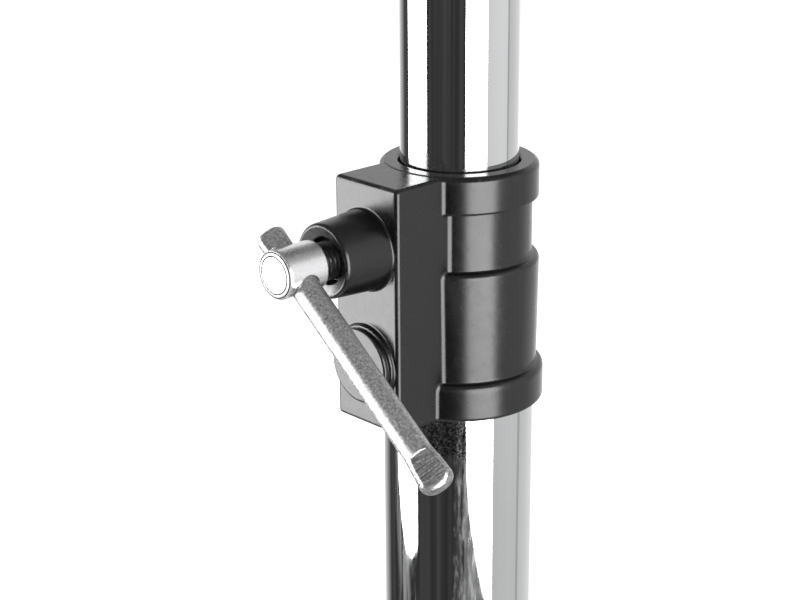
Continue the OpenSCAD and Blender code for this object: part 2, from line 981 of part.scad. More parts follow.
module foot(i) {
  h = leg_half + foot_wall;
  w = 2 * h;
  end = on_leg(leg_len, 0)[0];
  color([0.05, 0.05, 0.05])
    difference() {
      intersection() {
        rotate([0, 0, leg_dirs[i]]) {
          slab(w)
            polygon(foot_outline());
        }
        along_leg(i)
          translate([leg_len - foot_grip - 1, 0, h - 40])
            rotate([0, 90, 0])
              linear_extrude(90)
                rounded(80, w, 4);
        rotate([0, 0, leg_dirs[i]])
          translate([end + 16 - 60, 0, -1])
            linear_extrude(120)
              rounded(120, w, 6);
      }
      along_leg(i)
        translate([leg_len - 100, 0, 0])
          rotate([0, 90, 0])
            linear_extrude(100)
              rounded(leg_w + 2 * seat_gap, leg_w + 2 * seat_gap, 3);
    }
}

// Bolt and nut through a leg and its two brace bars
module leg_bolt(i) {
  color("gray")
    along_leg(i)
      translate([brace_len, 0, 0]) {
        pivot_bolt(brace_out + 0.2);
        pivot_nut(brace_out + 0.2);
      }
}

lower_tube();
clamp_collar();
collar_bush();
base_hub();
tube_plug();
hub_bolts();
hub_nuts();
clamp_pad();
clamp_screw();
clamp_bar();
upper_tube();
guide_bush();
tube_cap();
tbar_socket();
crossbar();
tbar_end_caps();
tbar_bolts();
tbar_nuts();
tbar_pad();
tbar_screw();
tbar_handle();
leg_collar();
collar_liner();
collar_bolts();
collar_nuts();
leg_pad();
leg_screw();
leg_bar();
brace(0);  // brace_1
brace(1);  // brace_2
brace(2);  // brace_3
leg(0);  // leg_1
leg(1);  // leg_2
leg(2);  // leg_3
knuckle(0);  // knuckle_1
knuckle(1);  // knuckle_2
knuckle(2);  // knuckle_3
foot(0);  // foot_1
foot(1);  // foot_2
foot(2);  // foot_3
leg_bolt(0);  // leg_bolt_1
leg_bolt(1);  // leg_bolt_2
leg_bolt(2);  // leg_bolt_3
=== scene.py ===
"""Looks of the lighting stand: fine meshes, finishes, studio and camera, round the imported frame."""

import functools
import json
import math

import bmesh
import bpy
import numpy as np
from mathutils import Matrix, Vector
from mathutils.geometry import tessellate_polygon


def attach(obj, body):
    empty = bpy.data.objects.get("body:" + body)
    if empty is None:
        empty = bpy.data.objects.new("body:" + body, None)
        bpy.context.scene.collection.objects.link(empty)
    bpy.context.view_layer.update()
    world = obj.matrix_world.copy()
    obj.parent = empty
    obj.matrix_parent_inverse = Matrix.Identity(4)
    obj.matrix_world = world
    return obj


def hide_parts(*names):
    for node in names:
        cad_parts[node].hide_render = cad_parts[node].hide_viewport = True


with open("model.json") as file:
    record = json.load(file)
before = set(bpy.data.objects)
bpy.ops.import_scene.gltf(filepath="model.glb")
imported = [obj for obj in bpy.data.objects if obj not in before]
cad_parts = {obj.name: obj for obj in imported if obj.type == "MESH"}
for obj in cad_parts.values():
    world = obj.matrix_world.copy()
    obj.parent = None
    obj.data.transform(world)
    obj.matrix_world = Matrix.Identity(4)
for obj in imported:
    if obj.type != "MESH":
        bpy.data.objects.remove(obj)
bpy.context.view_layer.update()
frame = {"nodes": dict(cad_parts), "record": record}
MM = 0.001

# Sizes in millimetres, the same as the part's source states
LOWER_R, LOWER_BORE, LOWER_LEN = 25.0, 23.0, 1000.0
UPPER_R, UPPER_BORE, UPPER_LEN = 19.0, 17.0, 1155.0
EXTENSION = 240.0
CLAMP_H, TOP_H, NECK_H, SKIRT_H = 80.0, 11.85, 19.35, 12.2
TOP_R, NECK_R, MID_R, MID_LOW_R, SKIRT_R = 25.5, 23.46, 25.84, 25.36, 27.7
SPIGOT = 41.0
BLOCK_W, BLOCK_REACH, BLOCK_EDGE, BLOCK_FILLET = 28.4, 40.8, 1.6, 1.0
BOSS_DROP, BOSS_LEN, BOSS_R, BOSS_TAPER = 21.6, 18.1, 12.9, 0.058
BLANK_DROP, BLANK_R, BLANK_H = 37.7, 13.1, 3.7
SCREW_R, HEAD_R, HEAD_LEN, HEAD_GAP = 6.0, 7.7, 15.0, 3.6
BAR_R, BAR_END_R, BAR_FLAT, BAR_TOP_FLAT = 4.44, 5.34, 12.4, 6.6
BAR_TILT, FLAT_TURN, FLAT_HALF, BAR_LOW = 38.6, 49.0, 3.7, 81.7
BAR_TOP = -HEAD_R - 0.2 - BAR_TOP_FLAT
PIVOT_REACH, LEG_ANGLE, BRACE_LEN, LEG_LEN = 46.0, 55.0, 270.0, 640.0
LEG_W, LEG_WALL, FOOT_LIFT, FOOT_WALL, FOOT_GRIP = 25.0, 1.5, 18.0, 3.0, 42.0
BRACE_W, BRACE_T, BOLT_R, HUB_H, HUB_WALL, EAR_T = 20.0, 3.0, 4.0, 44.0, 6.0, 5.0
SLIDER_H, SLIDER_SCREW, SLIDER_REACH, SLIDER_BOSS = 82.0, 48.0, 39.0, 12.0
TBAR_LEN, TBAR_W, TBAR_WALL, LAMP_INSET, LAMP_HOLE = 1200.0, 30.0, 2.0, 45.0, 5.5
SOCKET_LEN, SOCKET_WALL, SOCKET_SCREW, SOCKET_REACH = 95.0, 4.0, 60.0, 38.0
SADDLE_LEN, SADDLE_T, GUSSET_H = 120.0, 5.0, 38.0
RUN_GAP, SEAT_GAP, SIDE_GAP, BUSH_WALL = 0.06, 0.03, 0.5, 1.9
TUBE_SEAT, PLUG_FLANGE, MOUTH_LIP = 1.2, 2.0, 2.5

COS_LEG, SIN_LEG = math.cos(math.radians(LEG_ANGLE)), math.sin(math.radians(LEG_ANGLE))
SLIDER_Z = FOOT_LIFT + LEG_LEN * COS_LEG
HUB_Z = SLIDER_Z - 2 * BRACE_LEN * COS_LEG
LOWER_Z = HUB_Z - HUB_H / 2 + PLUG_FLANGE
CLAMP_Z = LOWER_Z + LOWER_LEN + CLAMP_H - SKIRT_H + TUBE_SEAT
SOCKET_Z = CLAMP_Z + EXTENSION
TBAR_Z = SOCKET_Z + SOCKET_LEN + SADDLE_T
BUSH_R = UPPER_R + RUN_GAP + BUSH_WALL
LINER_R = LOWER_R + RUN_GAP + BUSH_WALL
CLAMP_BORE = BUSH_R + SEAT_GAP
CLAMP_MOUTH = BLOCK_REACH + BOSS_LEN
SLIDER_MOUTH = SLIDER_REACH + SLIDER_BOSS
SLIDER_LOW = SLIDER_Z + SLIDER_SCREW + 16 - SLIDER_H
UPPER_TOP = SOCKET_Z + SOCKET_LEN - 2.2
UPPER_Z = UPPER_TOP - UPPER_LEN
HUB_R = LOWER_R + HUB_WALL
LEG_HALF = LEG_W / 2
NECK_LEN = LEG_HALF + 1.5
EAR_IN = LEG_HALF + SIDE_GAP
EAR_OUT = EAR_IN + EAR_T
LUG_R = BRACE_W / 2 + 1
PIN_R = BOLT_R + 0.05
BOLT_AF, BOLT_HEAD, FLANGE_R, FLANGE_T, NUT_H = 13.0, 5.2, 8.3, 1.6, 6.8
BRACE_IN = LEG_HALF + SIDE_GAP
BRACE_OUT = BRACE_IN + BRACE_T
SADDLE_BOLT = SADDLE_LEN / 2 - 16
CLAMP_DIR, SLIDER_DIR = -90, -60
LEG_DIRS = (0, 120, 240)


# Placing

def cos_sin(degrees):
    """Cosine and sine of an angle."""
    return math.cos(math.radians(degrees)), math.sin(math.radians(degrees))


def turn(axis, degrees):
    return Matrix.Rotation(math.radians(degrees), 4, axis)


def shift(x, y, z):
    return Matrix.Translation((x, y, z))


def facing(direction, z):
    """Frame of a clamp screw: x outwards, z up."""
    return shift(0, 0, z) @ turn("Z", direction)


def along_leg(i):
    """Frame of a leg: x along it from its pivot on the leg collar."""
    return turn("Z", LEG_DIRS[i]) @ shift(PIVOT_REACH, 0, SLIDER_Z) @ turn("Y", 90 - LEG_ANGLE)


def along_brace(i):
    """Frame of a brace: x along it from its pivot on the hub."""
    return turn("Z", LEG_DIRS[i]) @ shift(PIVOT_REACH, 0, HUB_Z) @ turn("Y", LEG_ANGLE - 90)


def in_metres(place):
    """The same placing with its distances in metres, for a mesh that is in metres itself."""
    out = place.copy()
    for row in range(3):
        out[row][3] *= MM
    return out


STILL, TO_X, TO_Y = Matrix.Identity(4), turn("Y", 90), turn("X", -90)


# Meshes from points and faces

def placed(name, data):
    """New object in the scene."""
    obj = bpy.data.objects.new(name, data)
    bpy.context.scene.collection.objects.link(obj)
    return obj


def centres(mesh):
    """Middles of a mesh's faces in millimetres, as arrays of x, y and z."""
    out = np.empty(len(mesh.polygons) * 3, np.float32)
    mesh.polygons.foreach_get("center", out)
    return out.reshape(-1, 3).T / MM


def finish_faces(mesh, index, *materials):
    """Gives each face the material of its index."""
    for material in materials:
        mesh.materials.append(material)
    mesh.polygons.foreach_set("material_index", index.astype(np.int32))


def mesh_of(name, points, faces, normals=None):
    """Smooth mesh in metres from points in millimetres."""
    mesh = bpy.data.meshes.new(name)
    mesh.from_pydata((np.asarray(points, float) * MM).tolist(), [], [list(map(int, f)) for f in faces])
    mesh.validate()
    mesh.shade_smooth()
    if normals is not None:
        mesh.normals_split_custom_set_from_vertices(np.asarray(normals, float).tolist())
    return mesh


def piece(name, mesh, place, body, slot, *nodes, material=None):
    """Shown piece that stands for CAD nodes of one body, in its slot's finish unless it has another."""
    obj = placed(name, mesh)
    obj.matrix_world = in_metres(place)
    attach(obj, body)
    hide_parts(*nodes)
    if not mesh.materials:
        mesh.materials.append(material or SLOT_FINISH[slot])
    return obj


# Outlines

def arc(cx, cy, rx, ry, start, end, steps=10):
    """Points along an arc or ellipse, angles in degrees."""
    t = np.radians(np.linspace(start, end, steps + 1))
    return [(cx + rx * math.cos(a), cy + ry * math.sin(a)) for a in t]


def rounded_square(w, r, steps=8):
    out = []
    for sx, sy, a in ((1, 1, 0), (-1, 1, 90), (-1, -1, 180), (1, -1, 270)):
        out += arc(sx * (w / 2 - r), sy * (w / 2 - r), r, r, a, a + 90, steps)
    return out


def touch(a, c, r, side):
    """Point where a line from a touches the circle of radius r at c."""
    dx, dy = c[0] - a[0], c[1] - a[1]
    d = math.hypot(dx, dy)
    t = math.atan2(dy, dx) + side * math.asin(r / d)
    run = math.sqrt(d * d - r * r)
    return (a[0] + run * math.cos(t), a[1] + run * math.sin(t))


class Flat:
    """Signed distance to a closed outline, kept in a table so that it is quick to read. The outline of a
    turned shape runs on past its axis, so that the axis isn't an edge."""

    def __init__(self, points, step=0.12, pad=5.0):
        p = np.array(points, float)
        self.low = p.min(0) - pad
        self.step = step
        size = np.ceil((p.max(0) + pad - self.low) / step).astype(int) + 1
        x = (self.low[0] + np.arange(size[0]) * step)[:, None]
        y = (self.low[1] + np.arange(size[1]) * step)[None, :]
        best = np.full(size, 1e9)
        inside = np.zeros(size, bool)
        for (ax, ay), (bx, by) in zip(p, np.roll(p, -1, 0)):
            ex, ey = bx - ax, by - ay
            if ex * ex + ey * ey < 1e-12:
                continue
            t = np.clip(((x - ax) * ex + (y - ay) * ey) / (ex * ex + ey * ey), 0, 1)
            best = np.minimum(best, (x - ax - t * ex) ** 2 + (y - ay - t * ey) ** 2)
            if ay != by:
                inside ^= ((ay > y) != (by > y)) & (x < ax + (y - ay) * ex / ey)
        self.table = (np.sqrt(best) * np.where(inside, -1, 1)).astype(np.float32)

    def __call__(self, u, v):
        n, m = self.table.shape
        gu, gv = (u - self.low[0]) / self.step, (v - self.low[1]) / self.step
        cu, cv = np.clip(gu, 0, n - 1.001), np.clip(gv, 0, m - 1.001)
        i, j = cu.astype(np.int32), cv.astype(np.int32)
        fu, fv = cu - i, cv - j
        t = self.table
        below = t[i, j] * (1 - fu) + t[i + 1, j] * fu
        above = t[i, j + 1] * (1 - fu) + t[i + 1, j + 1] * fu
        return below * (1 - fv) + above * fv + np.hypot(gu - cu, gv - cv) * self.step


# Joining distance fields, in millimetres

def join(a, b, r):
    """Union with a fillet of radius r."""
    return np.maximum(r, np.minimum(a, b)) - np.hypot(np.maximum(r - a, 0), np.maximum(r - b, 0))


def meet(a, b, r):
    """Intersection with its edge rounded to radius r."""
    return np.minimum(-r, np.maximum(a, b)) + np.hypot(np.maximum(r + a, 0), np.maximum(r + b, 0))


def cut(a, b, r):
    """a without b, with the new edge rounded to radius r."""
    return meet(a, -b, r)


def rectangle(u, v, low, high, half, r):
    """Rounded rectangle from low to high along u, and half as far out on both sides of v = 0."""
    qu = np.abs(u - (low + high) / 2) - (high - low) / 2 + r
    qv = np.abs(v) - half + r
    return np.hypot(np.maximum(qu, 0), np.maximum(qv, 0)) + np.minimum(np.maximum(qu, qv), 0) - r


def between(z, low, high):
    """Layer from low to high."""
    return np.maximum(low - z, z - high)


def slope(field, p, h=0.1):
    """Gradient of a field at points."""
    g = np.empty_like(p)
    for a in range(3):
        d = np.zeros(3)
        d[a] = h
        g[:, a] = (field(*(p + d).T) - field(*(p - d).T)) / (2 * h)
    return g


def skin(name, field, low, high, step, faces, soft=0.1):
    """Mesh of the surface where a field is zero: a net of cells, thinned, then set exactly on the surface.
    soft is the distance over which its normals are taken."""
    low = np.array(low, float)
    n = np.ceil((np.array(high) - low) / step).astype(int) + 1
    axes = [low[a] + np.arange(n[a]) * step for a in range(3)]
    grid = np.empty(n, np.float32)
    for s in range(0, n[0], 12):
        grid[s:s + 12] = field(*np.meshgrid(axes[0][s:s + 12], axes[1], axes[2], indexing="ij"))

    # Cells that the surface passes through, each with a point in the middle of its crossings
    inside = grid < 0
    count = np.zeros(n - 1, np.uint8)
    for corner in np.ndindex(2, 2, 2):
        count += inside[tuple(slice(c, k - 1 + c) for c, k in zip(corner, n))]
    cells = np.argwhere((count > 0) & (count < 8))
    index = np.full(n - 1, -1, np.int32)
    index[tuple(cells.T)] = np.arange(len(cells))
    total, hits = np.zeros(cells.shape), np.zeros(len(cells))
    quads = []
    for axis in range(3):
        b, c = (axis + 1) % 3, (axis + 2) % 3
        unit = np.eye(3, dtype=int)
        for u, v in ((0, 0), (1, 0), (0, 1), (1, 1)):
            start = cells + u * unit[b] + v * unit[c]
            fa, fb = grid[tuple(start.T)], grid[tuple((start + unit[axis]).T)]
            hit = (fa < 0) != (fb < 0)
            where = start[hit].astype(float)
            where[:, axis] += fa[hit] / (fa[hit] - fb[hit])
            total[hit] += where
            hits[hit] += 1

        # One face round each grid edge that crosses the surface
        first = [slice(1, -1)] * 3
        first[axis] = slice(0, -1)
        second = list(first)
        second[axis] = slice(1, None)
        change = inside[tuple(first)] != inside[tuple(second)]
        at = np.argwhere(change) + 1 - unit[axis]
        ring = [index[tuple((at - q).T)] for q in (unit[b] + unit[c], unit[c], 0 * unit[b], unit[b])]
        ring = np.stack(ring, 1)
        out = inside[tuple(at.T)]
        quads.append(np.where(out[:, None], ring, ring[:, ::-1]))
    points = low + step * total / hits[:, None]
    quads = np.concatenate(quads)
    points = settled(field, points, step)
    mesh = bpy.data.meshes.new(name)
    fill(mesh, points, quads)

    # Thinned by collapsing edges, which moves points, so they are settled again
    if len(quads) * 2 > faces:
        obj = placed(name, mesh)
        thin = obj.modifiers.new("thin", "DECIMATE")
        thin.ratio = faces / (len(quads) * 2)
        graph = bpy.context.evaluated_depsgraph_get()
        smaller = bpy.data.meshes.new_from_object(obj.evaluated_get(graph))
        bpy.data.objects.remove(obj)
        bpy.data.meshes.remove(mesh)
        mesh = smaller
        mesh.name = name
    co = np.empty(len(mesh.vertices) * 3, np.float32)
    mesh.vertices.foreach_get("co", co)
    points = settled(field, co.reshape(-1, 3).astype(float) / MM, step)
    mesh.vertices.foreach_set("co", (points * MM).astype(np.float32).ravel())
    mesh.shade_smooth()
    g = slope(field, points, soft)
    g /= np.maximum(np.linalg.norm(g, axis=1), 1e-9)[:, None]
    mesh.update()
    mesh.normals_split_custom_set_from_vertices(g.tolist())
    return mesh


def fill(mesh, points, quads):
    """Fills a mesh from arrays, points in millimetres."""
    mesh.vertices.add(len(points))
    mesh.vertices.foreach_set("co", (points * MM).astype(np.float32).ravel())
    mesh.loops.add(quads.size)
    mesh.loops.foreach_set("vertex_index", quads.astype(np.int32).ravel())
    mesh.polygons.add(len(quads))
    mesh.polygons.foreach_set("loop_start", np.arange(0, quads.size, quads.shape[1], dtype=np.int32))
    mesh.update(calc_edges=True)


def settled(field, p, step, rounds=3):
    """Points moved onto the surface along the field's slope."""
    for _ in range(rounds):
        g = slope(field, p, 0.04)
        f = field(*p.T)
        move = -(f / np.maximum((g * g).sum(1), 0.25))[:, None] * g
        far = np.linalg.norm(move, axis=1)
        p = p + move * np.minimum(1, 0.4 * step / np.maximum(far, 1e-9))[:, None]
    return p


# Turned and pressed shapes

SCREW_SIDES = 96


def polar(name, rows, sides, sharp=38, closed=True):
    """Surface of rows round the z axis. A row is (radius, height), each one number or one for every side."""
    angle = np.arange(sides) * 2 * math.pi / sides
    points = []
    for r, z in rows:
        r, z = np.broadcast_to(r, sides), np.broadcast_to(z, sides)
        points.append(np.stack([r * np.cos(angle), r * np.sin(angle), z], 1))
    points = np.concatenate(points)
    faces = []
    count = len(rows)
    for k in range(count if closed else count - 1):
        a, b = k * sides, (k + 1) % count * sides
        for i in range(sides):
            j = (i + 1) % sides
            faces.append((a + i, a + j, b + j, b + i))
    mesh = mesh_of(name, points, faces)
    drop_doubles(mesh)
    mesh.set_sharp_from_angle(angle=math.radians(sharp))
    return mesh


def drop_doubles(mesh):
    """Merges points that lie on each other, and turns all faces outwards."""
    work = bmesh.new()
    work.from_mesh(mesh)
    bmesh.ops.remove_doubles(work, verts=work.verts, dist=1e-6)
    bmesh.ops.dissolve_degenerate(work, edges=work.edges, dist=1e-7)
    bmesh.ops.recalc_face_normals(work, faces=work.faces)
    work.to_mesh(mesh)
    work.free()
    mesh.shade_smooth()


def eased(profile, gap=0.12):
    """Closed (r, z) profile with points added beside its corners, so that long faces shade flat."""
    out = []
    for (ar, az), (br, bz) in zip(profile, profile[1:] + profile[:1]):
        length = math.hypot(br - ar, bz - az)
        out.append((ar, az))
        if length > 4 * gap:
            for t in (gap / length, 1 - gap / length):
                out.append((ar + (br - ar) * t, az + (bz - az) * t))
    return out


def lathe(name, profile, sides=160):
    return polar(name, eased(profile), sides)


def tube_profile(r, bore, low, high, edge=0.35):
    """Section of a tube with its ends broken."""
    out = []
    for side, end, start in ((r - edge, low + edge, -90), (r - edge, high - edge, 0),
                             (bore + edge, high - edge, 90), (bore + edge, low + edge, 180)):
        out += arc(side, end, edge, edge, start, start + 90, 4)
    return out


def plates(name, layers, steps=3):
    """Extruded outlines with rounded edges, each (loops, low, high, edge). The first loop is the outside."""
    points, normals, faces = [], [], []
    for loops, low, high, edge in layers:
        caps = ([], [])
        for k, loop in enumerate(loops):
            p = np.array(loop, float)
            p = p[np.linalg.norm(p - np.roll(p, 1, 0), axis=1) > 1e-6]
            area = (p[:, 0] * np.roll(p[:, 1], -1) - p[:, 1] * np.roll(p[:, 0], -1)).sum()
            if (area > 0) != (k == 0):
                p = p[::-1]
            along = np.roll(p, -1, 0) - p
            along /= np.linalg.norm(along, axis=1)[:, None]
            side = np.stack([along[:, 1], -along[:, 0]], 1)
            # Outward at each corner
            out = side + np.roll(side, 1, 0)
            out /= np.linalg.norm(out, axis=1)[:, None]
            n, base = len(p), len(points)
            rows = []
            for z, way, start in ((low, -1, 90), (high, 1, 0)):
                for a in np.radians(np.linspace(start, 90 - start, steps + 1)):
                    inset, drop = edge * (1 - math.cos(a)), edge * (1 - math.sin(a))
                    rows.append((p - out * inset, z - way * drop, out * math.cos(a), way * math.sin(a)))
            for ring, z, flat, up in rows:
                points += [(x, y, z) for x, y in ring]
                normals += [(x, y, up) for x, y in flat]
            for r in range(len(rows) - 1):
                a, b = base + r * n, base + (r + 1) * n
                faces += [(a + i, a + (i + 1) % n, b + (i + 1) % n, b + i) for i in range(n)]
            caps[0].append([base + i for i in range(n)])
            caps[1].append([base + (len(rows) - 1) * n + i for i in range(n)])
        # Flat ends, with the inner loops as holes
        for up, rings in enumerate(caps):
            ids = [i for ring in rings for i in ring]
            for tri in tessellate_polygon([[Vector(points[i]) for i in ring] for ring in rings]):
                a, b, c = (ids[t] for t in tri)
                pa, pb, pc = points[a], points[b], points[c]
                left = (pb[0] - pa[0]) * (pc[1] - pa[1]) - (pb[1] - pa[1]) * (pc[0] - pa[0]) > 0
                faces.append((a, b, c) if left == bool(up) else (a, c, b))
    return mesh_of(name, points, faces, normals=normals)


def thread_rows(r, low, high, pitch, depth, every=0.16):
    """Rows of a screw thread that fades out at both ends."""
    turns = np.arange(SCREW_SIDES) / SCREW_SIDES
    rows = []
    for z in np.linspace(low, high, max(3, int((high - low) / every))):
        saw = np.abs((z / pitch - turns) % 1 * 2 - 1)
        fade = min(1.0, (z - low) / (0.6 * pitch), (high - z) / (0.6 * pitch))
        rows.append((r - depth * np.clip(1.25 * (1 - saw) - 0.12, 0, 1) * max(fade, 0), z))
    return rows


def hexagon():
    """Radius of the bolts' and nuts' hexagon over the sides of a row."""
    angle = np.arange(SCREW_SIDES) * 360 / SCREW_SIDES
    return BOLT_AF / 2 / np.cos(np.radians((angle + 30) % 60 - 30))


def bolt_mesh(grip):
    """Flanged hexagon bolt, head upwards with its seat at z = 0."""
    af = hexagon()
    top, slope_len = BOLT_AF / 2 - 0.3, (BOLT_AF / 2 + 0.3) / 2
    cone = BOLT_HEAD - (af - top) / slope_len
    end = -grip - NUT_H - 3
    rows = [(0, end), (BOLT_R - 0.9, end)]
    rows += thread_rows(BOLT_R, end + 0.7, -grip + 1, 1.25, 0.62)
    rows += [(BOLT_R, -grip + 1.3), (BOLT_R, -0.1), (BOLT_R, 0), (FLANGE_R - 0.3, 0), (FLANGE_R, 0.3)]
    rows += [(FLANGE_R - 0.15, FLANGE_T - 0.55), (FLANGE_R - 0.9, FLANGE_T - 0.1), (af + 0.45, FLANGE_T)]
    rows += [(af + 0.1, FLANGE_T + 0.2), (af, FLANGE_T + 0.5), (af, cone - 0.15), (af - 0.12, cone + 0.12)]
    rows += [(top + 0.1, BOLT_HEAD - 0.04), (top - 0.3, BOLT_HEAD), (top - 1.5, BOLT_HEAD)]
    rows += [(top - 2.1, BOLT_HEAD - 0.45), (0, BOLT_HEAD - 0.5)]
    return polar("bolt", rows, SCREW_SIDES, 30, closed=False)


def nut_mesh():
    """Flanged nut with a locking collar, seated at z = 0 and reaching downwards."""
    af = hexagon()
    top, slope_len = BOLT_AF / 2 - 0.3, 1.5
    cone = -NUT_H + (af - top) / slope_len
    bore = BOLT_R + SEAT_GAP
    low = -NUT_H - 1.5
    rows = [(bore, -0.4), (bore + 0.4, 0), (FLANGE_R - 0.3, 0), (FLANGE_R, -0.3)]
    rows += [(FLANGE_R - 0.15, -FLANGE_T + 0.55), (FLANGE_R - 0.9, -FLANGE_T + 0.1), (af + 0.4, -FLANGE_T)]
    rows += [(af, -FLANGE_T - 0.4), (af, cone + 0.15), (af - 0.12, cone - 0.1), (top, -NUT_H)]
    rows += [(5.35, -NUT_H - 0.02), (5.3, -NUT_H - 0.15), (5.3, low + 0.5), (4.9, low + 0.1), (4.5, low)]
    rows += [(bore, low + 0.3)]
    return polar("nut", rows, SCREW_SIDES, 30)


# Finishes

class Nodes:
    """Nodes of one material or world."""

    def __init__(self, tree):
        self.tree = tree

    @functools.cached_property
    def place(self):
        """Where the surface is, in its object's own space."""
        return self.add("TexCoord", "Object")

    def feed(self, socket, value):
        """Links a socket to an output, or sets its value."""
        if isinstance(value, bpy.types.NodeSocket):
            self.tree.links.new(value, socket)
        else:
            socket.default_value = value

    def add(self, kind, out=0, inputs=(), **settings):
        """New node with its inputs fed by name or place. Gives one of its outputs."""
        node = self.tree.nodes.new("ShaderNode" + kind)
        for key, value in settings.items():
            setattr(node, key, value)
        for key, value in dict(inputs).items():
            self.feed(node.inputs[key], value)
        return node.outputs[out]

    def maths(self, operation, *values):
        return self.add("Math", 0, enumerate(values), operation=operation)

    def times(self, first, second):
        return self.maths("MULTIPLY", first, second)

    def plus(self, value, other, share):
        return self.maths("MULTIPLY_ADD", other, share, value)

    def noise(self, scale, detail=3.0, stretch=None, rough=0.55, source=None):
        source = self.place if source is None else source
        if stretch:
            source = self.add("Mapping", 0, {"Vector": source, "Scale": stretch})
        inputs = {"Vector": source, "Scale": scale, "Detail": detail, "Roughness": rough}
        return self.add("TexNoise", "Fac", inputs)

    def ranged(self, value, low, high, out_low, out_high):
        names = ("Value", "From Min", "From Max", "To Min", "To Max")
        return self.add("MapRange", "Result", zip(names, (value, low, high, out_low, out_high)))

    def mixed(self, factor, *colours):
        first, second = ((*c, 1) if isinstance(c, tuple) else c for c in colours)
        return self.add("Mix", "Result", {"Factor": factor, "A": first, "B": second}, data_type="RGBA")

    def along(self, axis):
        return self.add("SeparateXYZ", axis, {"Vector": self.place})

    def towards(self, side, inner, outer, waviness):
        """1 on one side of the z axis, 0 beyond the outer angle, with an uneven border."""
        flat = self.add("CombineXYZ", 0, {"X": self.along("X"), "Y": self.along("Y")})
        outward = self.add("VectorMath", 0, {0: flat}, operation="NORMALIZE")
        share = self.add("VectorMath", "Value", {0: outward, 1: (*cos_sin(side), 0)}, operation="DOT_PRODUCT")
        far, near = (cos_sin(a)[0] + waviness / 2 for a in (outer, inner))
        return self.ranged(self.plus(share, self.noise(260, 4, (1, 1, 0.5)), waviness), far, near, 0, 1)


def new_material(name):
    """New material and its nodes."""
    mat = bpy.data.materials.new(name)
    mat.use_nodes = True
    return mat, Nodes(mat.node_tree)


def finish(name, colour, rough, metallic=0.0, specular=0.5, tone=0.12, tone_scale=30.0, rough_spread=0.06,
           rough_scale=70.0, bumps=(), edge_wear_and_sheen=None, dust=0.0, brushed=None, grease_and_reflection=None):
    """Procedural finish: colour tone, roughness variation, bump layers and lighter edges, which are worn
    edges and, on the casting, also a painted edge highlight. A bump is (scale, depth in metres, detail,
    stretch over x, y and z). The lighter edges are (colour, amount). brushed is (y where it starts, turn
    about y, depth).
    The grease and painted reflection are (low, high, side of the painted reflection, side of the greasy
    stretch) round the z axis, heights in metres and sides in degrees; the painted reflection is a dark
    speckled patch that stands for the reflection of a dark part above it."""
    mat, n = new_material(name)
    shader = n.tree.nodes["Principled BSDF"].inputs
    shader["Metallic"].default_value = metallic
    shader["Specular IOR Level"].default_value = specular
    darker = tuple(c * (1 - tone) for c in colour)
    lighter = tuple(min(1, c * (1 + tone)) for c in colour)
    shade = n.mixed(n.ranged(n.noise(tone_scale, 4), 0.3, 0.7, 0, 1), darker, lighter)
    glossiest = max(0.01, rough - rough_spread)
    roughness = n.ranged(n.noise(rough_scale, 5), 0.25, 0.75, glossiest, rough + rough_spread)
    if dust:
        grains = n.ranged(n.noise(tone_scale * 9, 6), 0.56, 0.74, 0, dust)
        shade = n.mixed(grains, shade, (0.32, 0.31, 0.3))
    # Lighter convex edges in patches: worn edges, and on the black casting also a painted edge highlight
    if edge_wear_and_sheen:
        edge_colour, amount = edge_wear_and_sheen
        edge = n.ranged(n.add("NewGeometry", "Pointiness"), 0.515, 0.56, 0, amount)
        shade = n.mixed(n.times(edge, n.ranged(n.noise(220, 5), 0.42, 0.62, 0, 1)), shade, edge_colour)
    # Dark speckled patch just below the collar: a painted reflection of the collar's dark underside. The
    # grease only changes roughness and metalness.
    if grease_and_reflection:
        low, high, reflection_side, greasy_side = grease_and_reflection
        height = n.plus(n.along("Z"), n.noise(150, 3), 0.012)
        painted_reflection = n.times(n.ranged(height, low + 0.006, high + 0.006, 0, 1), n.towards(reflection_side, 17, 22, 0.05))
        reflection_specks = n.mixed(n.ranged(n.noise(1300, 8), 0.42, 0.66, 0, 1), (0.12, 0.12, 0.12), (0.95, 0.95, 0.95))
        shade = n.mixed(painted_reflection, shade, reflection_specks)
        streaks = n.ranged(n.noise(900, 8, (1, 1, 0.14)), 0.42, 0.72, 0, 1)
        grease = n.times(n.towards(greasy_side, 7, 12, 0.06), streaks)
        grease = n.times(grease, n.ranged(height, low - 0.11, low - 0.06, 0, 1))
        roughness = n.plus(roughness, grease, 0.04)
        n.feed(shader["Metallic"], n.ranged(grease, 0, 1, metallic, 0.5))
    layers = [(n.noise(scale, detail, stretch, 0.6), depth) for scale, depth, detail, stretch in bumps]
    if brushed:
        start, angle, depth = brushed
        crosswise = n.add("Mapping", 0, {"Vector": n.place, "Rotation": (0, angle, 0)})
        streaks = n.noise(1900, 3, (1, 1, 0.1), 0.5, crosswise)
        where = n.ranged(n.along("Y"), start, start + 0.0006, 0, 1)
        layers.append((n.times(streaks, where), depth))
        scored = n.times(where, n.ranged(streaks, 0.42, 0.6, 0, 0.8))
        shade = n.mixed(scored, shade, tuple(c * 0.3 for c in colour))
    n.feed(shader["Base Color"], shade)
    n.feed(shader["Roughness"], roughness)
    under = {}
    for height, depth in layers:
        bump = n.add("Bump", 0, {"Strength": 1.0, "Distance": depth, "Height": height, **under})
        n.feed(shader["Normal"], bump)
        under = {"Normal": bump}
    return mat


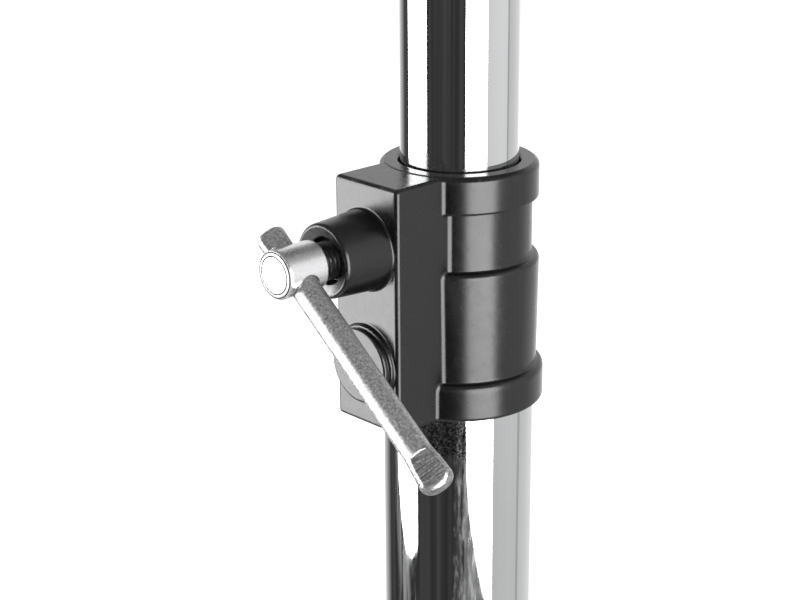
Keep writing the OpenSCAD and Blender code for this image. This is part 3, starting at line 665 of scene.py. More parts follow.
# Looks of the record's slots
CHROME = (0.64, 0.645, 0.65)
LOOKS = {
    "chrome_tube": dict(colour=CHROME, rough=0.03, metallic=1, tone=0.02, rough_spread=0.015, rough_scale=160,
                        bumps=((38, 0.00003, 2, (1, 1, 0.15)), (900, 0.0000012, 3, (1, 1, 0.06)))),
    "chrome_leg": dict(colour=CHROME, rough=0.06, metallic=1, tone=0.03, rough_spread=0.03, rough_scale=120,
                       bumps=((60, 0.00003, 2, (1, 1, 0.2)), (900, 0.000003, 3, (1, 1, 0.08)))),
    "black_casting": dict(colour=(0.0035, 0.0035, 0.0036), rough=0.26, rough_spread=0.035, rough_scale=300,
                          bumps=((150, 0.000012, 2, None), (2600, 0.000006, 4, None)),
                          # Its lighter edges are worn paint and also a painted edge highlight
                          edge_wear_and_sheen=((0.09, 0.09, 0.09), 0.2)),
    "black_steel": dict(colour=(0.02, 0.02, 0.021), rough=0.36, tone=0.15, rough_spread=0.05, rough_scale=200,
                        bumps=((420, 0.00002, 3, None), (2600, 0.00001, 3, None)),
                        edge_wear_and_sheen=((0.16, 0.16, 0.16), 0.3)),
    "black_plastic": dict(colour=(0.018, 0.018, 0.018), rough=0.46, tone=0.2, rough_scale=260,
                          bumps=((1500, 0.000015, 4, None),), dust=0.03),
    "black_rubber": dict(colour=(0.02, 0.02, 0.02), rough=0.62, specular=0.4, tone=0.25, rough_spread=0.08,
                         rough_scale=180, bumps=((900, 0.00003, 4, None), (90, 0.00005, 2, None)), dust=0.1,
                         edge_wear_and_sheen=((0.07, 0.07, 0.07), 0.4)),
    "zinc_fastener": dict(colour=(0.55, 0.56, 0.58), rough=0.26, metallic=1, tone=0.08, tone_scale=160,
                          rough_spread=0.08, rough_scale=320, bumps=((1300, 0.00001, 4, None),)),
    "brass_pad": dict(colour=(0.72, 0.55, 0.25), rough=0.24, metallic=1, tone=0.08, rough_scale=300,
                      bumps=((1200, 0.000008, 3, None),)),
    "plated_screw": dict(colour=(0.76, 0.76, 0.77), rough=0.27, metallic=1, tone=0.03, rough_spread=0.02,
                         rough_scale=300),
    "plated_bar": dict(colour=(0.46, 0.46, 0.46), rough=0.4, metallic=1, tone=0.5, tone_scale=1500,
                       rough_spread=0.05, rough_scale=1500, bumps=((2600, 0.000014, 4, None),),
                       brushed=((BAR_LOW - BAR_FLAT) * MM, math.radians(FLAT_TURN), 0.00012)),
}
SLOT_FINISH = {slot: finish(slot, **look) for slot, look in LOOKS.items()}

# Finishes of one place each
under_clamp = CLAMP_Z - CLAMP_H
# Lower tube chrome with a painted reflection of the collar's dark underside just below the collar, and grease
CHROME_GREASE_AND_REFLECTION = finish("chrome_tube_grease_and_painted_reflection", **LOOKS["chrome_tube"],
                        grease_and_reflection=((under_clamp - 14) * MM, (under_clamp - 12) * MM, -55, -36))
MOUTH = finish("machined_mouth", (0.15, 0.15, 0.15), 0.4, metallic=1, tone=0.15, tone_scale=500,
               rough_spread=0.04, rough_scale=300, bumps=((2600, 0.000004, 4, None),))
NICKEL_END = finish("plated_screw_end", (0.5, 0.5, 0.5), 0.48, metallic=1, tone=0.06, tone_scale=600,
                    rough_spread=0.03, rough_scale=900, bumps=((1800, 0.000004, 3, None),))
# Near-black painted shade for the screw shank, which sits in the boss's mouth
SHADED_THREAD = finish("plated_thread_painted_shade", (0.035, 0.035, 0.035), 0.42, metallic=1, tone=0.4, tone_scale=300,
                rough_spread=0.1, rough_scale=600, bumps=((1800, 0.00001, 4, None),))
# Painted shade in the head's two end grooves
GROOVE_SHADE = finish("groove_painted_shade", (0.012, 0.012, 0.012), 0.6, specular=0.25, tone=0.4, tone_scale=900,
                rough_scale=600, bumps=((1800, 0.000006, 3, None),))

# Every CAD node first takes the finish of its slot
for part in frame["record"]["subparts"]:
    data = frame["nodes"][part["node"]].data
    data.materials.clear()
    data.materials.append(SLOT_FINISH[part["material_slot"]])


# Mast clamp

def mouth_outline(low, step):
    """Hole of a screw boss with its dished mouth, heights from the boss face."""
    bore, sink = SCREW_R + 0.05, SCREW_R + 1.5
    return Flat([(-9, low), (bore, low), (bore, -6), (sink, -6), (sink, -1.7),
                 (SCREW_R + 4.9, 0.05), (SCREW_R + 9, 2.15), (-9, 2.15)], step)


def boss_outline(length, edge):
    """Tapered screw boss with a rounded rim, heights from the block's face."""
    tip = BOSS_R - BOSS_TAPER * length
    return Flat([(-20, -6), (BOSS_R + 0.35, -6)] + arc(tip - edge, length - edge, edge, edge, 3, 90, 8)
                + [(-20, length)])


def topped(body, z, out):
    """Ends a casting at z = 0 with a rounded edge. Where out is above 0 its rim lies a little lower."""
    step = np.clip(out / 0.7, 0, 1)
    return meet(body, z + 0.25 * step * step * (3 - 2 * step), 1.7)


def clamp_field():
    """Casting of the mast clamp in its screw's frame: x outwards, top at z = 0."""
    root = 0.8
    z1, z2, z3 = -TOP_H, -TOP_H - NECK_H, SKIRT_H - CLAMP_H
    e2, e3 = MID_R - NECK_R - root, SKIRT_R - MID_LOW_R - root
    ring = Flat([(12, 6), (TOP_R, 6)] + arc(TOP_R - 0.5, z1 + 0.5, 0.5, 0.5, 0, -90, 5)
                + arc(NECK_R + root, z1 - root, root, root, 90, 180, 6)
                + arc(NECK_R + root, z2 + root, root, root, 180, 270, 6)
                + arc(NECK_R + root, z2 - 1.8, e2, 1.8, 90, 0, 10)
                + arc(MID_LOW_R + root, z3 + root, root, root, 180, 270, 6)
                + arc(MID_LOW_R + root, z3 - 2.4, e3, 2.4, 90, 0, 12)
                + [(SKIRT_R, -CLAMP_H - 6), (12, -CLAMP_H - 6)], 0.1)
    boss = boss_outline(BOSS_LEN, 1.6)
    rim = BLANK_R - 0.9
    blank = Flat([(-20, -6), (BLANK_R + 0.2, -6), (BLANK_R - 0.2, BLANK_H * 0.28),
                  (BLANK_R - 0.45, BLANK_H * 0.4), (rim - 0.3, BLANK_H * 0.47), (rim, BLANK_H * 0.58)]
                 + arc(rim - 0.9, BLANK_H - 0.9, 0.9, 0.9, 5, 90, 8) + [(-20, BLANK_H)], 0.08)
    tube_end = SKIRT_H - CLAMP_H - TUBE_SEAT
    gap, seat = UPPER_R + 0.5, LOWER_R + SEAT_GAP
    bore = Flat([(-40, 9), (UPPER_R + 1.7 + 9, 9), (UPPER_R + 1.1, 0), (gap, -0.6), (gap, -MOUTH_LIP),
                 (CLAMP_BORE, -MOUTH_LIP), (CLAMP_BORE, tube_end), (seat, tube_end),
                 (seat, -CLAMP_H - 9), (-40, -CLAMP_H - 9)], 0.1)
    hole = mouth_outline(-50, 0.1)
    rim_r = 23.9

    def field(x, y, z):
        r = np.hypot(x, y)
        block = rectangle(x, y, 0, BLOCK_REACH, BLOCK_W / 2, BLOCK_EDGE)
        body = topped(join(ring(r, z), block, BLOCK_FILLET), z, r - rim_r)
        body = meet(body, -CLAMP_H - z, 1.2)
        screw = np.hypot(y, z + BOSS_DROP)
        body = join(body, boss(screw, x - BLOCK_REACH), 0.7)
        low = np.hypot(y, z + BOSS_DROP + BLANK_DROP)
        body = join(body, blank(low, x - BLOCK_REACH), 0.6)
        body = cut(body, bore(r, z), 0.12)
        return cut(body, hole(screw, x - CLAMP_MOUTH), 0.25)
    return field


clamp_place = facing(CLAMP_DIR, CLAMP_Z)
clamp_mesh = skin("clamp_casting", clamp_field(), (-29, -29, -81.2), (60.5, 29, 1.2), 0.42, 185000)
# The dish of the mouth is machined bare
x, y, z = centres(clamp_mesh)
r = np.hypot(y, z + BOSS_DROP)
dish = (x > CLAMP_MOUTH - 2.2) & (r > SCREW_R + 1.4) & (r < SCREW_R + 4.3)
finish_faces(clamp_mesh, dish, SLOT_FINISH["black_casting"], MOUTH)
piece("clamp_casting", clamp_mesh, clamp_place, "mast", "black_casting", "clamp_collar")

# Sleeve of the casting inside the lower tube
sleeve_top = SKIRT_H - CLAMP_H - TUBE_SEAT + 0.5
sleeve = tube_profile(LOWER_BORE - SEAT_GAP, CLAMP_BORE, sleeve_top - SPIGOT - 0.5, sleeve_top, 0.5)
piece("clamp_spigot", lathe("spigot", sleeve, 96), clamp_place, "mast", "black_casting", "clamp_collar")


# Tubes, bushes and plug of the mast

def on_mast(name, profile, body, slot, node, sides=160, material=None):
    """Piece turned round the mast's axis."""
    piece(name, lathe(name, profile, sides), STILL, body, slot, node, material=material)


on_mast("lower_tube_look", tube_profile(LOWER_R, LOWER_BORE, LOWER_Z, LOWER_Z + LOWER_LEN),
        "mast", "chrome_tube", "lower_tube", 256, CHROME_GREASE_AND_REFLECTION)
on_mast("upper_tube_look", tube_profile(UPPER_R, UPPER_BORE, UPPER_Z, UPPER_Z + UPPER_LEN),
        "upper_mast", "chrome_tube", "upper_tube", 256)
bush_low = CLAMP_Z + SKIRT_H - CLAMP_H - TUBE_SEAT - SPIGOT
on_mast("collar_bush_look", tube_profile(BUSH_R, UPPER_R + RUN_GAP, bush_low, CLAMP_Z - MOUTH_LIP, 0.4),
        "mast", "black_plastic", "collar_bush")
plug_low, plug_top = LOWER_Z - PLUG_FLANGE, LOWER_Z + 15
plug_bore, plug_fit = LOWER_BORE - 3, LOWER_BORE - SEAT_GAP
on_mast("tube_plug_look",
        arc(LOWER_R - 0.8, plug_low + 0.8, 0.8, 0.8, -90, 0, 5)
        + [(LOWER_R, LOWER_Z), (plug_fit, LOWER_Z), (plug_fit, plug_top - 0.4), (LOWER_BORE - 0.5, plug_top),
           (plug_bore, plug_top), (plug_bore, LOWER_Z + PLUG_FLANGE), (0, LOWER_Z + PLUG_FLANGE),
           (0, plug_low + 0.7), (17.2, plug_low + 0.7), (18, plug_low)],
        "mast", "black_plastic", "tube_plug")
slider_top, liner_bore = SLIDER_LOW + SLIDER_H, LOWER_R + RUN_GAP
on_mast("collar_liner_look",
        [(LINER_R, SLIDER_LOW), (LINER_R, slider_top), (LINER_R + 1.5, slider_top + 0.05)]
        + arc(LINER_R + 1, slider_top + 1.1, 0.5, 0.5, 0, 90, 4)
        + arc(liner_bore + 0.5, slider_top + 1.1, 0.44, 0.5, 90, 180, 4)
        + [(liner_bore, SLIDER_LOW + 0.4), (liner_bore + 0.4, SLIDER_LOW)],
        "leg_collar", "black_plastic", "collar_liner")


# Base hub, leg collar and T-bar socket

def lug_outline(root, up, down):
    """Lug round a pivot, in distance from the mast and height over the pivot."""
    c, a, b = (PIVOT_REACH, 0), (root, up), (root, -down)
    start, end = touch(a, c, LUG_R, 1), touch(b, c, LUG_R, -1)
    t0, t1 = (math.degrees(math.atan2(p[1] - c[1], p[0] - c[0])) for p in (start, end))
    return Flat([b, (root - 4, -down), (root - 4, up), a] + arc(*c, LUG_R, LUG_R, t0, t1, 32))


def radial(x, y, direction):
    """Coordinates turned so that u points outwards along a direction and v lies across it."""
    c, s = cos_sin(direction)
    return x * c + y * s, y * c - x * s


def with_pivots(body, legs, z):
    """Body with the holes of its three pivots."""
    for u, _ in legs:
        body = cut(body, np.maximum(np.hypot(u - PIVOT_REACH, z) - PIN_R, -u), 0.3)
    return body


def hub_field():
    """Casting of the base hub, heights from its pivots."""
    low, waist = -HUB_H / 2, HUB_R - 1.5
    ring = Flat([(-9, low)] + arc(waist, low + 1.5, 1.5, 1.5, -90, 0, 8)
                + [(HUB_R, low + 9), (waist, low + 11), (waist, -low - 11), (HUB_R, -low - 9)]
                + arc(waist, -low - 1.5, 1.5, 1.5, 0, 90, 8) + [(-9, -low)])
    lug = lug_outline(LOWER_R + 2, HUB_H / 2 - 2, HUB_H / 2 - 2)

    def field(x, y, z):
        r = np.hypot(x, y)
        legs = [radial(x, y, direction) for direction in LEG_DIRS]
        body = ring(r, z)
        for u, v in legs:
            body = join(body, meet(lug(u, z), np.abs(v) - LEG_HALF, 0.9), 2.2)
        return with_pivots(cut(body, r - LOWER_R - SEAT_GAP, 0.4), legs, z)
    return field


def collar_field():
    """Casting of the leg collar, round the mast axis, heights from its pivots."""
    low, top, waist = SLIDER_LOW - SLIDER_Z, SLIDER_LOW - SLIDER_Z + SLIDER_H, HUB_R - 1.5
    ring = Flat([(-9, low)] + arc(waist, low + 1.5, 1.5, 1.5, -90, 0, 8)
                + [(HUB_R, low + 34), (waist, low + 36), (waist, top - 14), (HUB_R, top - 12),
                   (HUB_R, top + 5), (-9, top + 5)])
    lug = lug_outline(LOWER_R + 1, 17, 16)
    boss = boss_outline(SLIDER_BOSS, 1)
    hole = mouth_outline(-30, 0.15)

    def field(x, y, z):
        r = np.hypot(x, y)
        u, v = radial(x, y, SLIDER_DIR)
        block = np.maximum(rectangle(u, v, 0, SLIDER_REACH, BLOCK_W / 2, BLOCK_EDGE), z - top - 5)
        block = meet(block, SLIDER_SCREW - 17 - z, BLOCK_EDGE)
        body = topped(join(ring(r, z), block, BLOCK_FILLET), z - top, r - HUB_R + 1.6)
        screw = np.hypot(v, z - SLIDER_SCREW)
        body = join(body, boss(screw, u - SLIDER_REACH), 1.2)
        legs = [radial(x, y, direction) for direction in LEG_DIRS]
        for a, b in legs:
            ear = meet(lug(a, z), np.abs(np.abs(b) - (EAR_IN + EAR_OUT) / 2) - EAR_T / 2, 0.8)
            body = join(body, ear, 2.0)
        body = cut(body, r - LINER_R - SEAT_GAP, 0.4)
        body = cut(body, hole(screw, u - SLIDER_MOUTH), 0.25)
        return with_pivots(body, legs, z)
    return field


def socket_field():
    """Welded socket of the T-bar, heights from its lower end."""
    r_out, boss_r = UPPER_R + RUN_GAP + SOCKET_WALL, SCREW_R + 5
    web_in, web_out = UPPER_R + 2, SADDLE_BOLT - 10
    web = Flat([(web_in, SOCKET_LEN + 3), (web_out, SOCKET_LEN + 3), (web_out, SOCKET_LEN - 3),
                (r_out + 1.5, SOCKET_LEN - GUSSET_H + 1.4), (web_in, SOCKET_LEN - GUSSET_H)])

    def field(x, y, z):
        r = np.hypot(x, y)
        body = meet(r - r_out, between(z, 0, SOCKET_LEN + 3), 0.8)
        plate = meet(rectangle(x, y, -SADDLE_LEN / 2, SADDLE_LEN / 2, TBAR_W / 2 + 4, 6),
                     between(z, SOCKET_LEN, SOCKET_LEN + SADDLE_T), 0.7)
        webs = meet(web(np.abs(x), z), np.abs(y) - SADDLE_T / 2, 0.7)
        body = join(join(body, plate, 2.6), webs, 2.4)
        body = np.maximum(body, z - SOCKET_LEN - SADDLE_T)
        screw = np.hypot(x, z - SOCKET_SCREW)
        boss = meet(screw - boss_r, between(-y, UPPER_R, SOCKET_REACH), 1.0)
        body = join(body, boss, 1.8)
        body = cut(body, np.maximum(r - UPPER_R - RUN_GAP, z - SOCKET_LEN), 0.5)
        body = cut(body, np.maximum(screw - SCREW_R - 0.05, y), 0.4)
        for side in (-1, 1):
            pin = np.hypot(x - side * SADDLE_BOLT, y) - PIN_R
            body = cut(body, np.maximum(pin, SOCKET_LEN - 2 - z), 0.3)
        return body
    return field


hub_mesh = skin("hub_casting", hub_field(), (-50, -58, -23), (59, 58, 23), 0.75, 90000)
piece("hub_casting", hub_mesh, shift(0, 0, HUB_Z), "mast", "black_casting", "base_hub")
collar_mesh = skin("leg_collar_casting", collar_field(), (-51, -60, -20), (59, 59, 66), 0.75, 120000)
piece("leg_collar_casting", collar_mesh, shift(0, 0, SLIDER_Z), "leg_collar", "black_casting", "leg_collar")
socket_low, socket_high = (-61.5, -39.5, -1.5), (61.5, 24.5, 101.5)
socket_mesh = skin("tbar_socket_weldment", socket_field(), socket_low, socket_high, 0.7, 90000)
piece("tbar_socket_weldment", socket_mesh, shift(0, 0, SOCKET_Z), "tbar", "black_steel", "tbar_socket")


# Clamp screws with their tommy bars

def head_field():
    """Head of a clamp screw along x from its inner end, cross-drilled for the bar."""
    # Two grooves and the bevel of its end face, as (inset, drop)
    rim = ((0, 1.2), (0.08, 0.85), (0.3, 0.5), (0.5, 0.33), (0.75, 0.5), (0.95, 0.22), (1.65, 0.05),
           (1.85, 0.3), (2.1, 0))
    body = Flat([(-9, -0.5)] + arc(HEAD_R - 1, 0.5, 1, 1, -90, 0, 8)
                + [(HEAD_R - inset, HEAD_LEN - drop) for inset, drop in rim] + [(-9, HEAD_LEN)], 0.05, 2.0)
    c, s = cos_sin(BAR_TILT)

    def field(x, y, z):
        bore = np.hypot(x - HEAD_LEN / 2, y * s + z * c) - BAR_R - 0.3
        return cut(body(np.hypot(y, z), x), bore, 0.35)
    return field


def bar_field():
    """Tommy bar along y: a round rod, pressed flat on both sides at each end and spread at the lower one."""
    c, s = cos_sin(FLAT_TURN)
    # Each end: tip, way it points, length of its flat, half width, corner, half thickness, rounding
    ends = []
    for tip, way, flat, r, corner, half, dome in (
            (BAR_LOW, 1, BAR_FLAT, BAR_END_R, 3.6, FLAT_HALF, 1.3),
            (BAR_TOP, -1, BAR_TOP_FLAT, BAR_R + 0.15, 1.9, 3.3, 0.25)):
        step = tip - way * flat
        outline = [(-9, step - way * 5), (BAR_R, step - way * 5), (BAR_R, step - way)]
        outline += [(BAR_R + 0.3, step + 1.5), (BAR_R + 0.55, step + 3.2)] if way > 0 else []
        outline += [(r, tip - way * (corner + 0.4))]
        outline += arc(r - corner, tip - way * corner, corner, way * (corner - 0.35), 4, 86, 14)
        outline += [(0, tip), (-9, tip)]
        ends.append((Flat(outline, 0.06, 2.0), step, way, tip, half, dome))

    def field(x, y, z):
        out, wide = np.abs(x * c + z * s), z * c - x * s
        r = np.hypot(x, z)
        rod = np.maximum(r - BAR_R, np.maximum(BAR_TOP + 5 - y, y - BAR_LOW + 5))
        for outline, step, way, tip, half, dome in ends:
            rod = join(rod, outline(r, y), 0.1)
            soft = 0.25 + dome * np.clip(1.0 - (tip - y) * way / 3.2, 0, 1)
            rod = meet(rod, join(out - half, (y - step) * way - 0.05 * wide * wide, 0.2), soft)
        return rod
    return field


# The head's end face is duller, and its two grooves are painted dark as shade
head_low, head_high = (-1.1, -8.3, -8.3), (HEAD_LEN + 0.6, 8.3, 8.3)
head_mesh = skin("screw_head", head_field(), head_low, head_high, 0.13, 90000, 0.04)
x, y, z = centres(head_mesh)
inset = HEAD_R - np.hypot(y, z)
groove = (inset > 1.66) & (inset < 2.08) | (inset > 0.5) & (inset < 0.93)
finish_faces(head_mesh, np.where(x > HEAD_LEN - 0.6, np.where(groove, 1, 2), 0),
             SLOT_FINISH["plated_screw"], GROOVE_SHADE, NICKEL_END)
bar_mesh = skin("tommy_bar", bar_field(), (-5.7, BAR_TOP - 0.6, -5.7), (5.7, BAR_LOW + 0.6, 5.7), 0.2, 70000)


def screw_set(screw, bar, place, tube_r, mouth):
    """Shank, head and tommy bar of one clamp screw. The names are those of the bodies and of their nodes."""
    start, tip = mouth + HEAD_GAP, tube_r + 6.4
    rows = [(0, tip), (SCREW_R - 1.4, tip), (SCREW_R - 1.1, tip + 0.3)]
    rows += thread_rows(SCREW_R, tip + 0.5, start - 0.9, 1.75, 1.0)
    rows += [(SCREW_R - 0.9, start - 0.85), (SCREW_R - 0.9, start + 1), (0, start + 1)]
    shank = polar(screw + "_shank", rows, SCREW_SIDES, 50, closed=False)
    # The shank is painted dark as shade
    piece(screw + "_shank", shank, place @ TO_X, screw, "plated_screw", screw, material=SHADED_THREAD)
    piece(screw + "_head", head_mesh, place @ shift(start, 0, 0), screw, "plated_screw", screw)
    piece(screw + "_tommy_bar", bar_mesh, place @ shift(start + HEAD_LEN / 2, 0, 0) @ turn("X", -BAR_TILT),
          bar, "plated_bar", bar)


screw_set("clamp_screw", "clamp_bar", facing(CLAMP_DIR, CLAMP_Z - BOSS_DROP), UPPER_R, CLAMP_MOUTH)
screw_set("tbar_screw", "tbar_handle", facing(CLAMP_DIR, SOCKET_Z + SOCKET_SCREW), UPPER_R, SOCKET_REACH)
screw_set("leg_screw", "leg_bar", facing(SLIDER_DIR, SLIDER_Z + SLIDER_SCREW), LOWER_R, SLIDER_MOUTH)


# T-bar

def crossbar_mesh():
    """Square tube along z with its lamp and bolt holes cut through."""
    outlines = [rounded_square(TBAR_W, 3, 6), rounded_square(TBAR_W - 2 * TBAR_WALL, 1, 4)]
    obj = placed("crossbar_blank", plates("crossbar_look", [(outlines, -TBAR_LEN / 2, TBAR_LEN / 2, 0.4)]))
    pitch = (TBAR_LEN - 2 * LAMP_INSET) / 3
    places = [((i - 1.5) * pitch, LAMP_HOLE) for i in range(4)]
    places += [(-SADDLE_BOLT, PIN_R), (SADDLE_BOLT, PIN_R)]
    points, faces, sides = [], [], 48
    around = np.arange(sides) * 2 * math.pi / sides
    for z, r in places:
        near = list(range(len(points), len(points) + sides))
        far = [i + sides for i in near]
        for x in (-TBAR_W, TBAR_W):
            points += [(x, r * math.cos(t), z + r * math.sin(t)) for t in around]
        faces += zip(near, far, far[1:] + far[:1], near[1:] + near[:1])
        faces += [near, far[::-1]]
    drill_mesh = mesh_of("drill", points, faces)
    drop_doubles(drill_mesh)
    drill = placed("drill", drill_mesh)
    holes = obj.modifiers.new("holes", "BOOLEAN")
    holes.operation, holes.solver, holes.object = "DIFFERENCE", "EXACT", drill
    bpy.context.view_layer.update()
    out = bpy.data.meshes.new_from_object(obj.evaluated_get(bpy.context.evaluated_depsgraph_get()))
    bpy.data.objects.remove(obj)
    bpy.data.objects.remove(drill)
    out.name = "crossbar_look"
    out.materials.clear()
    out.shade_smooth()
    out.set_sharp_from_angle(angle=math.radians(32))
    return out


bar_z = TBAR_Z + TBAR_W / 2
bar_place = shift(0, 0, bar_z) @ TO_X
crossbar = piece("crossbar_look", crossbar_mesh(), bar_place, "tbar", "black_steel", "crossbar")
# Broad faces stay flat in the shading beside the rounded corners
even = crossbar.modifiers.new("even", "WEIGHTED_NORMAL")
even.keep_sharp = True
cap_inner = TBAR_W - 2 * TBAR_WALL - 2 * SEAT_GAP
cap_mesh = plates("tbar_cap", [([rounded_square(TBAR_W, 3)], 0, 2, 0.5),
                               ([rounded_square(TBAR_W - 2, 2.5)], 1.6, 3, 0.9),
                               ([rounded_square(cap_inner, 1.2)], -12, 0.2, 0.6)])
for side, name in ((0, "right"), (180, "left")):
    place = turn("Z", side) @ shift(TBAR_LEN / 2, 0, bar_z) @ TO_X
    piece("tbar_cap_" + name, cap_mesh, place, "tbar", "black_plastic", "tbar_end_caps")


# Fasteners

def bolt_pair(prefix, place, grip, body, bolt_node, nut_node, seat):
    """Bolt with its head outwards along z of the placing at seat, and its nut on the other side."""
    piece(prefix + "_bolt", bolts[grip], place @ shift(0, 0, seat), body, "zinc_fastener", bolt_node)
    piece(prefix + "_nut", nut, place @ shift(0, 0, seat - grip), body, "zinc_fastener", nut_node)


brace_grip, ear_grip, saddle_grip = 2 * (BRACE_OUT + 0.2), 2 * EAR_OUT, TBAR_W + SADDLE_T
bolts = {grip: bolt_mesh(grip) for grip in (brace_grip, ear_grip, saddle_grip)}
nut = nut_mesh()
for i, n in enumerate("123"):
    knee = along_leg(i) @ shift(BRACE_LEN, 0, 0)
    for prefix, place, grip, body, bolt_node, nut_node in (
            ("hub_", along_brace(i), brace_grip, "mast", "hub_bolts", "hub_nuts"),
            ("collar_", along_leg(i), ear_grip, "leg_collar", "collar_bolts", "collar_nuts"),
            ("leg_", knee, brace_grip, "leg_" + n, "leg_bolt_" + n, "leg_bolt_" + n)):
        bolt_pair(prefix + n, place @ TO_Y, grip, body, bolt_node, nut_node, grip / 2)
for x, name in ((-SADDLE_BOLT, "left"), (SADDLE_BOLT, "right")):
    bolt_pair("tbar_" + name, shift(x, 0, 0), saddle_grip, "tbar", "tbar_bolts", "tbar_nuts", TBAR_Z + TBAR_W)


# Legs, braces, knuckles and feet

def knuckle_field(x, y, z):
    """Fitting in the top of a leg, in the leg's frame."""
    head = np.where(x < 0, np.hypot(x, z), np.abs(z)) - LEG_HALF
    block = meet(np.maximum(head, x - NECK_LEN), np.abs(y) - LEG_HALF, 1.0)
    inner = LEG_W / 2 - LEG_WALL - SEAT_GAP
    stub = np.maximum(rectangle(y, z, -inner, inner, inner, 1.5), between(x, NECK_LEN - 1, NECK_LEN + 28))
    return cut(np.minimum(block, stub), np.hypot(x, z) - PIN_R, 0.4)


def on_leg(u, v):
    """Distance from the mast and height of a point along and across a leg."""
    return (PIVOT_REACH + u * SIN_LEG + v * COS_LEG, SLIDER_Z - u * COS_LEG + v * SIN_LEG)


def foot_field():
    """Rubber foot in the plane of its leg: x outwards, z up, with grooves across its sole."""
    h = LEG_HALF + FOOT_WALL
    end = on_leg(LEG_LEN, 0)[0]
    side = Flat([on_leg(LEG_LEN - FOOT_GRIP, -h), on_leg(LEG_LEN - FOOT_GRIP, h)]
                + arc(*on_leg(LEG_LEN + 4, h - 5), 5, 5, LEG_ANGLE, LEG_ANGLE - 90, 10)
                + arc(end + 12, 4, 4, 4, 0, -90, 8) + arc(end - 19, 3, 3, 3, -90, -180, 6)
                + [on_leg(LEG_LEN - 24, -h)])
    tube = LEG_HALF + SEAT_GAP

    def field(x, y, z):
        u = (x - PIVOT_REACH) * SIN_LEG - (z - SLIDER_Z) * COS_LEG
        v = (x - PIVOT_REACH) * COS_LEG + (z - SLIDER_Z) * SIN_LEG
        body = meet(side(x, z), np.abs(y) - h, 2.6)
        body = meet(body, rectangle(x, y, end + 16 - 120, end + 16, h, 6), 0.5)
        bore = np.maximum(rectangle(v, y, -tube, tube, tube, 3), between(u, LEG_LEN - 100, LEG_LEN))
        groove = np.hypot(((x - end + 60) % 5.5) - 2.75, z) - 1.1
        return cut(cut(body, bore, 0.5), groove, 0.25)
    return field


knuckle_mesh = skin("knuckle", knuckle_field, (-13.6, -13.6, -13.6), (43, 13.6, 13.6), 0.6, 24000)
foot_low = on_leg(LEG_LEN - FOOT_GRIP, -LEG_HALF - FOOT_WALL)[0] - 1.5
foot_high = on_leg(LEG_LEN, 0)[0] + 17.5
foot_mesh = skin("foot", foot_field(), (foot_low, -16.7, -1.0), (foot_high, 16.7, 58), 0.6, 50000)
leg_outlines = [rounded_square(LEG_W, 3), rounded_square(LEG_W - 2 * LEG_WALL, 1.5, 6)]
leg_mesh = plates("leg_tube", [(leg_outlines, NECK_LEN, LEG_LEN, 0.35)])
brace_r = BRACE_W / 2
brace_outlines = [arc(0, 0, brace_r, brace_r, 90, 270, 36) + arc(BRACE_LEN, 0, brace_r, brace_r, -90, 90, 36)]
for x in (0, BRACE_LEN):
    around = np.linspace(0, 2 * math.pi, 40)[:-1]
    brace_outlines.append([(x + PIN_R * math.cos(t), PIN_R * math.sin(t)) for t in around])
brace_mesh = plates("brace_bars", [(brace_outlines, BRACE_IN, BRACE_OUT, 0.6),
                                   (brace_outlines, -BRACE_OUT, -BRACE_IN, 0.6)], 4)
for i, n in enumerate("123"):
    leg, brace = "leg_" + n, "brace_" + n
    piece("leg_tube_" + n, leg_mesh, along_leg(i) @ TO_X, leg, "chrome_leg", leg)
    piece("knuckle_fitting_" + n, knuckle_mesh, along_leg(i), leg, "black_plastic", "knuckle_" + n)
    piece("rubber_foot_" + n, foot_mesh, turn("Z", LEG_DIRS[i]), leg, "black_rubber", "foot_" + n)
    piece("brace_bars_" + n, brace_mesh, along_brace(i) @ turn("X", 90), brace, "chrome_leg", brace)


# Studio

# Direction of the camera from the mast in degrees, then heights and radii of the studio in metres
STUDIO_TURN = -45.0
CEILING, SOFTBOX_TOP, CURTAIN_TOP, CARD_TOP = 2.25, 1.75, 0.98, 2.1
CURTAIN_R, PANEL_R = 1.62, 1.5


def glow(name, low, high, scale=3.0, stretch=(1, 1, 0.3), contrast=(0.35, 0.65), share=None):
    """Uneven light of a studio panel, between low and high. share gives the part of it at each place."""
    mat, n = new_material(name)
    n.tree.nodes.remove(n.tree.nodes["Principled BSDF"])
    strength = n.ranged(n.noise(scale, 4, stretch, 0.5), *contrast, low, high)
    if share:
        strength = n.times(strength, share(n))
    light = n.add("Emission", 0, {"Color": (1, 1, 1, 1), "Strength": strength})
    n.feed(n.tree.nodes["Material Output"].inputs["Surface"], light)
    return mat


def fading(axis, start, first, end, last):
    """Share that goes from first to last along an axis."""
    return lambda n: n.ranged(n.along(axis), start, end, first, last)


def dark_spot(n):
    """Share of the ceiling's light: darkest over one spot, x to the camera's right and y away from it."""
    reach = n.add("VectorMath", "Value", {0: n.place, 1: (0.42, 0.72, CEILING)}, operation="DISTANCE")
    near = n.maths("MULTIPLY_ADD", reach, 0.45, 0.03)
    far = n.maths("MULTIPLY_ADD", n.maths("MAXIMUM", n.along("X"), 0.0), 0.3, 0.28)
    return n.maths("MINIMUM", near, far)


def reflected(name, points, faces, material, spin=0.0):
    """Part of the studio that only reflections see."""
    mesh = bpy.data.meshes.new(name)
    mesh.from_pydata(points, [], faces)
    mesh.materials.append(material)
    obj = placed(name, mesh)
    obj.rotation_euler.z = math.radians(spin)
    obj.visible_camera = False
    obj.visible_diffuse = False
    obj.visible_shadow = False
    obj.visible_transmission = False
    obj.visible_volume_scatter = False
    return obj


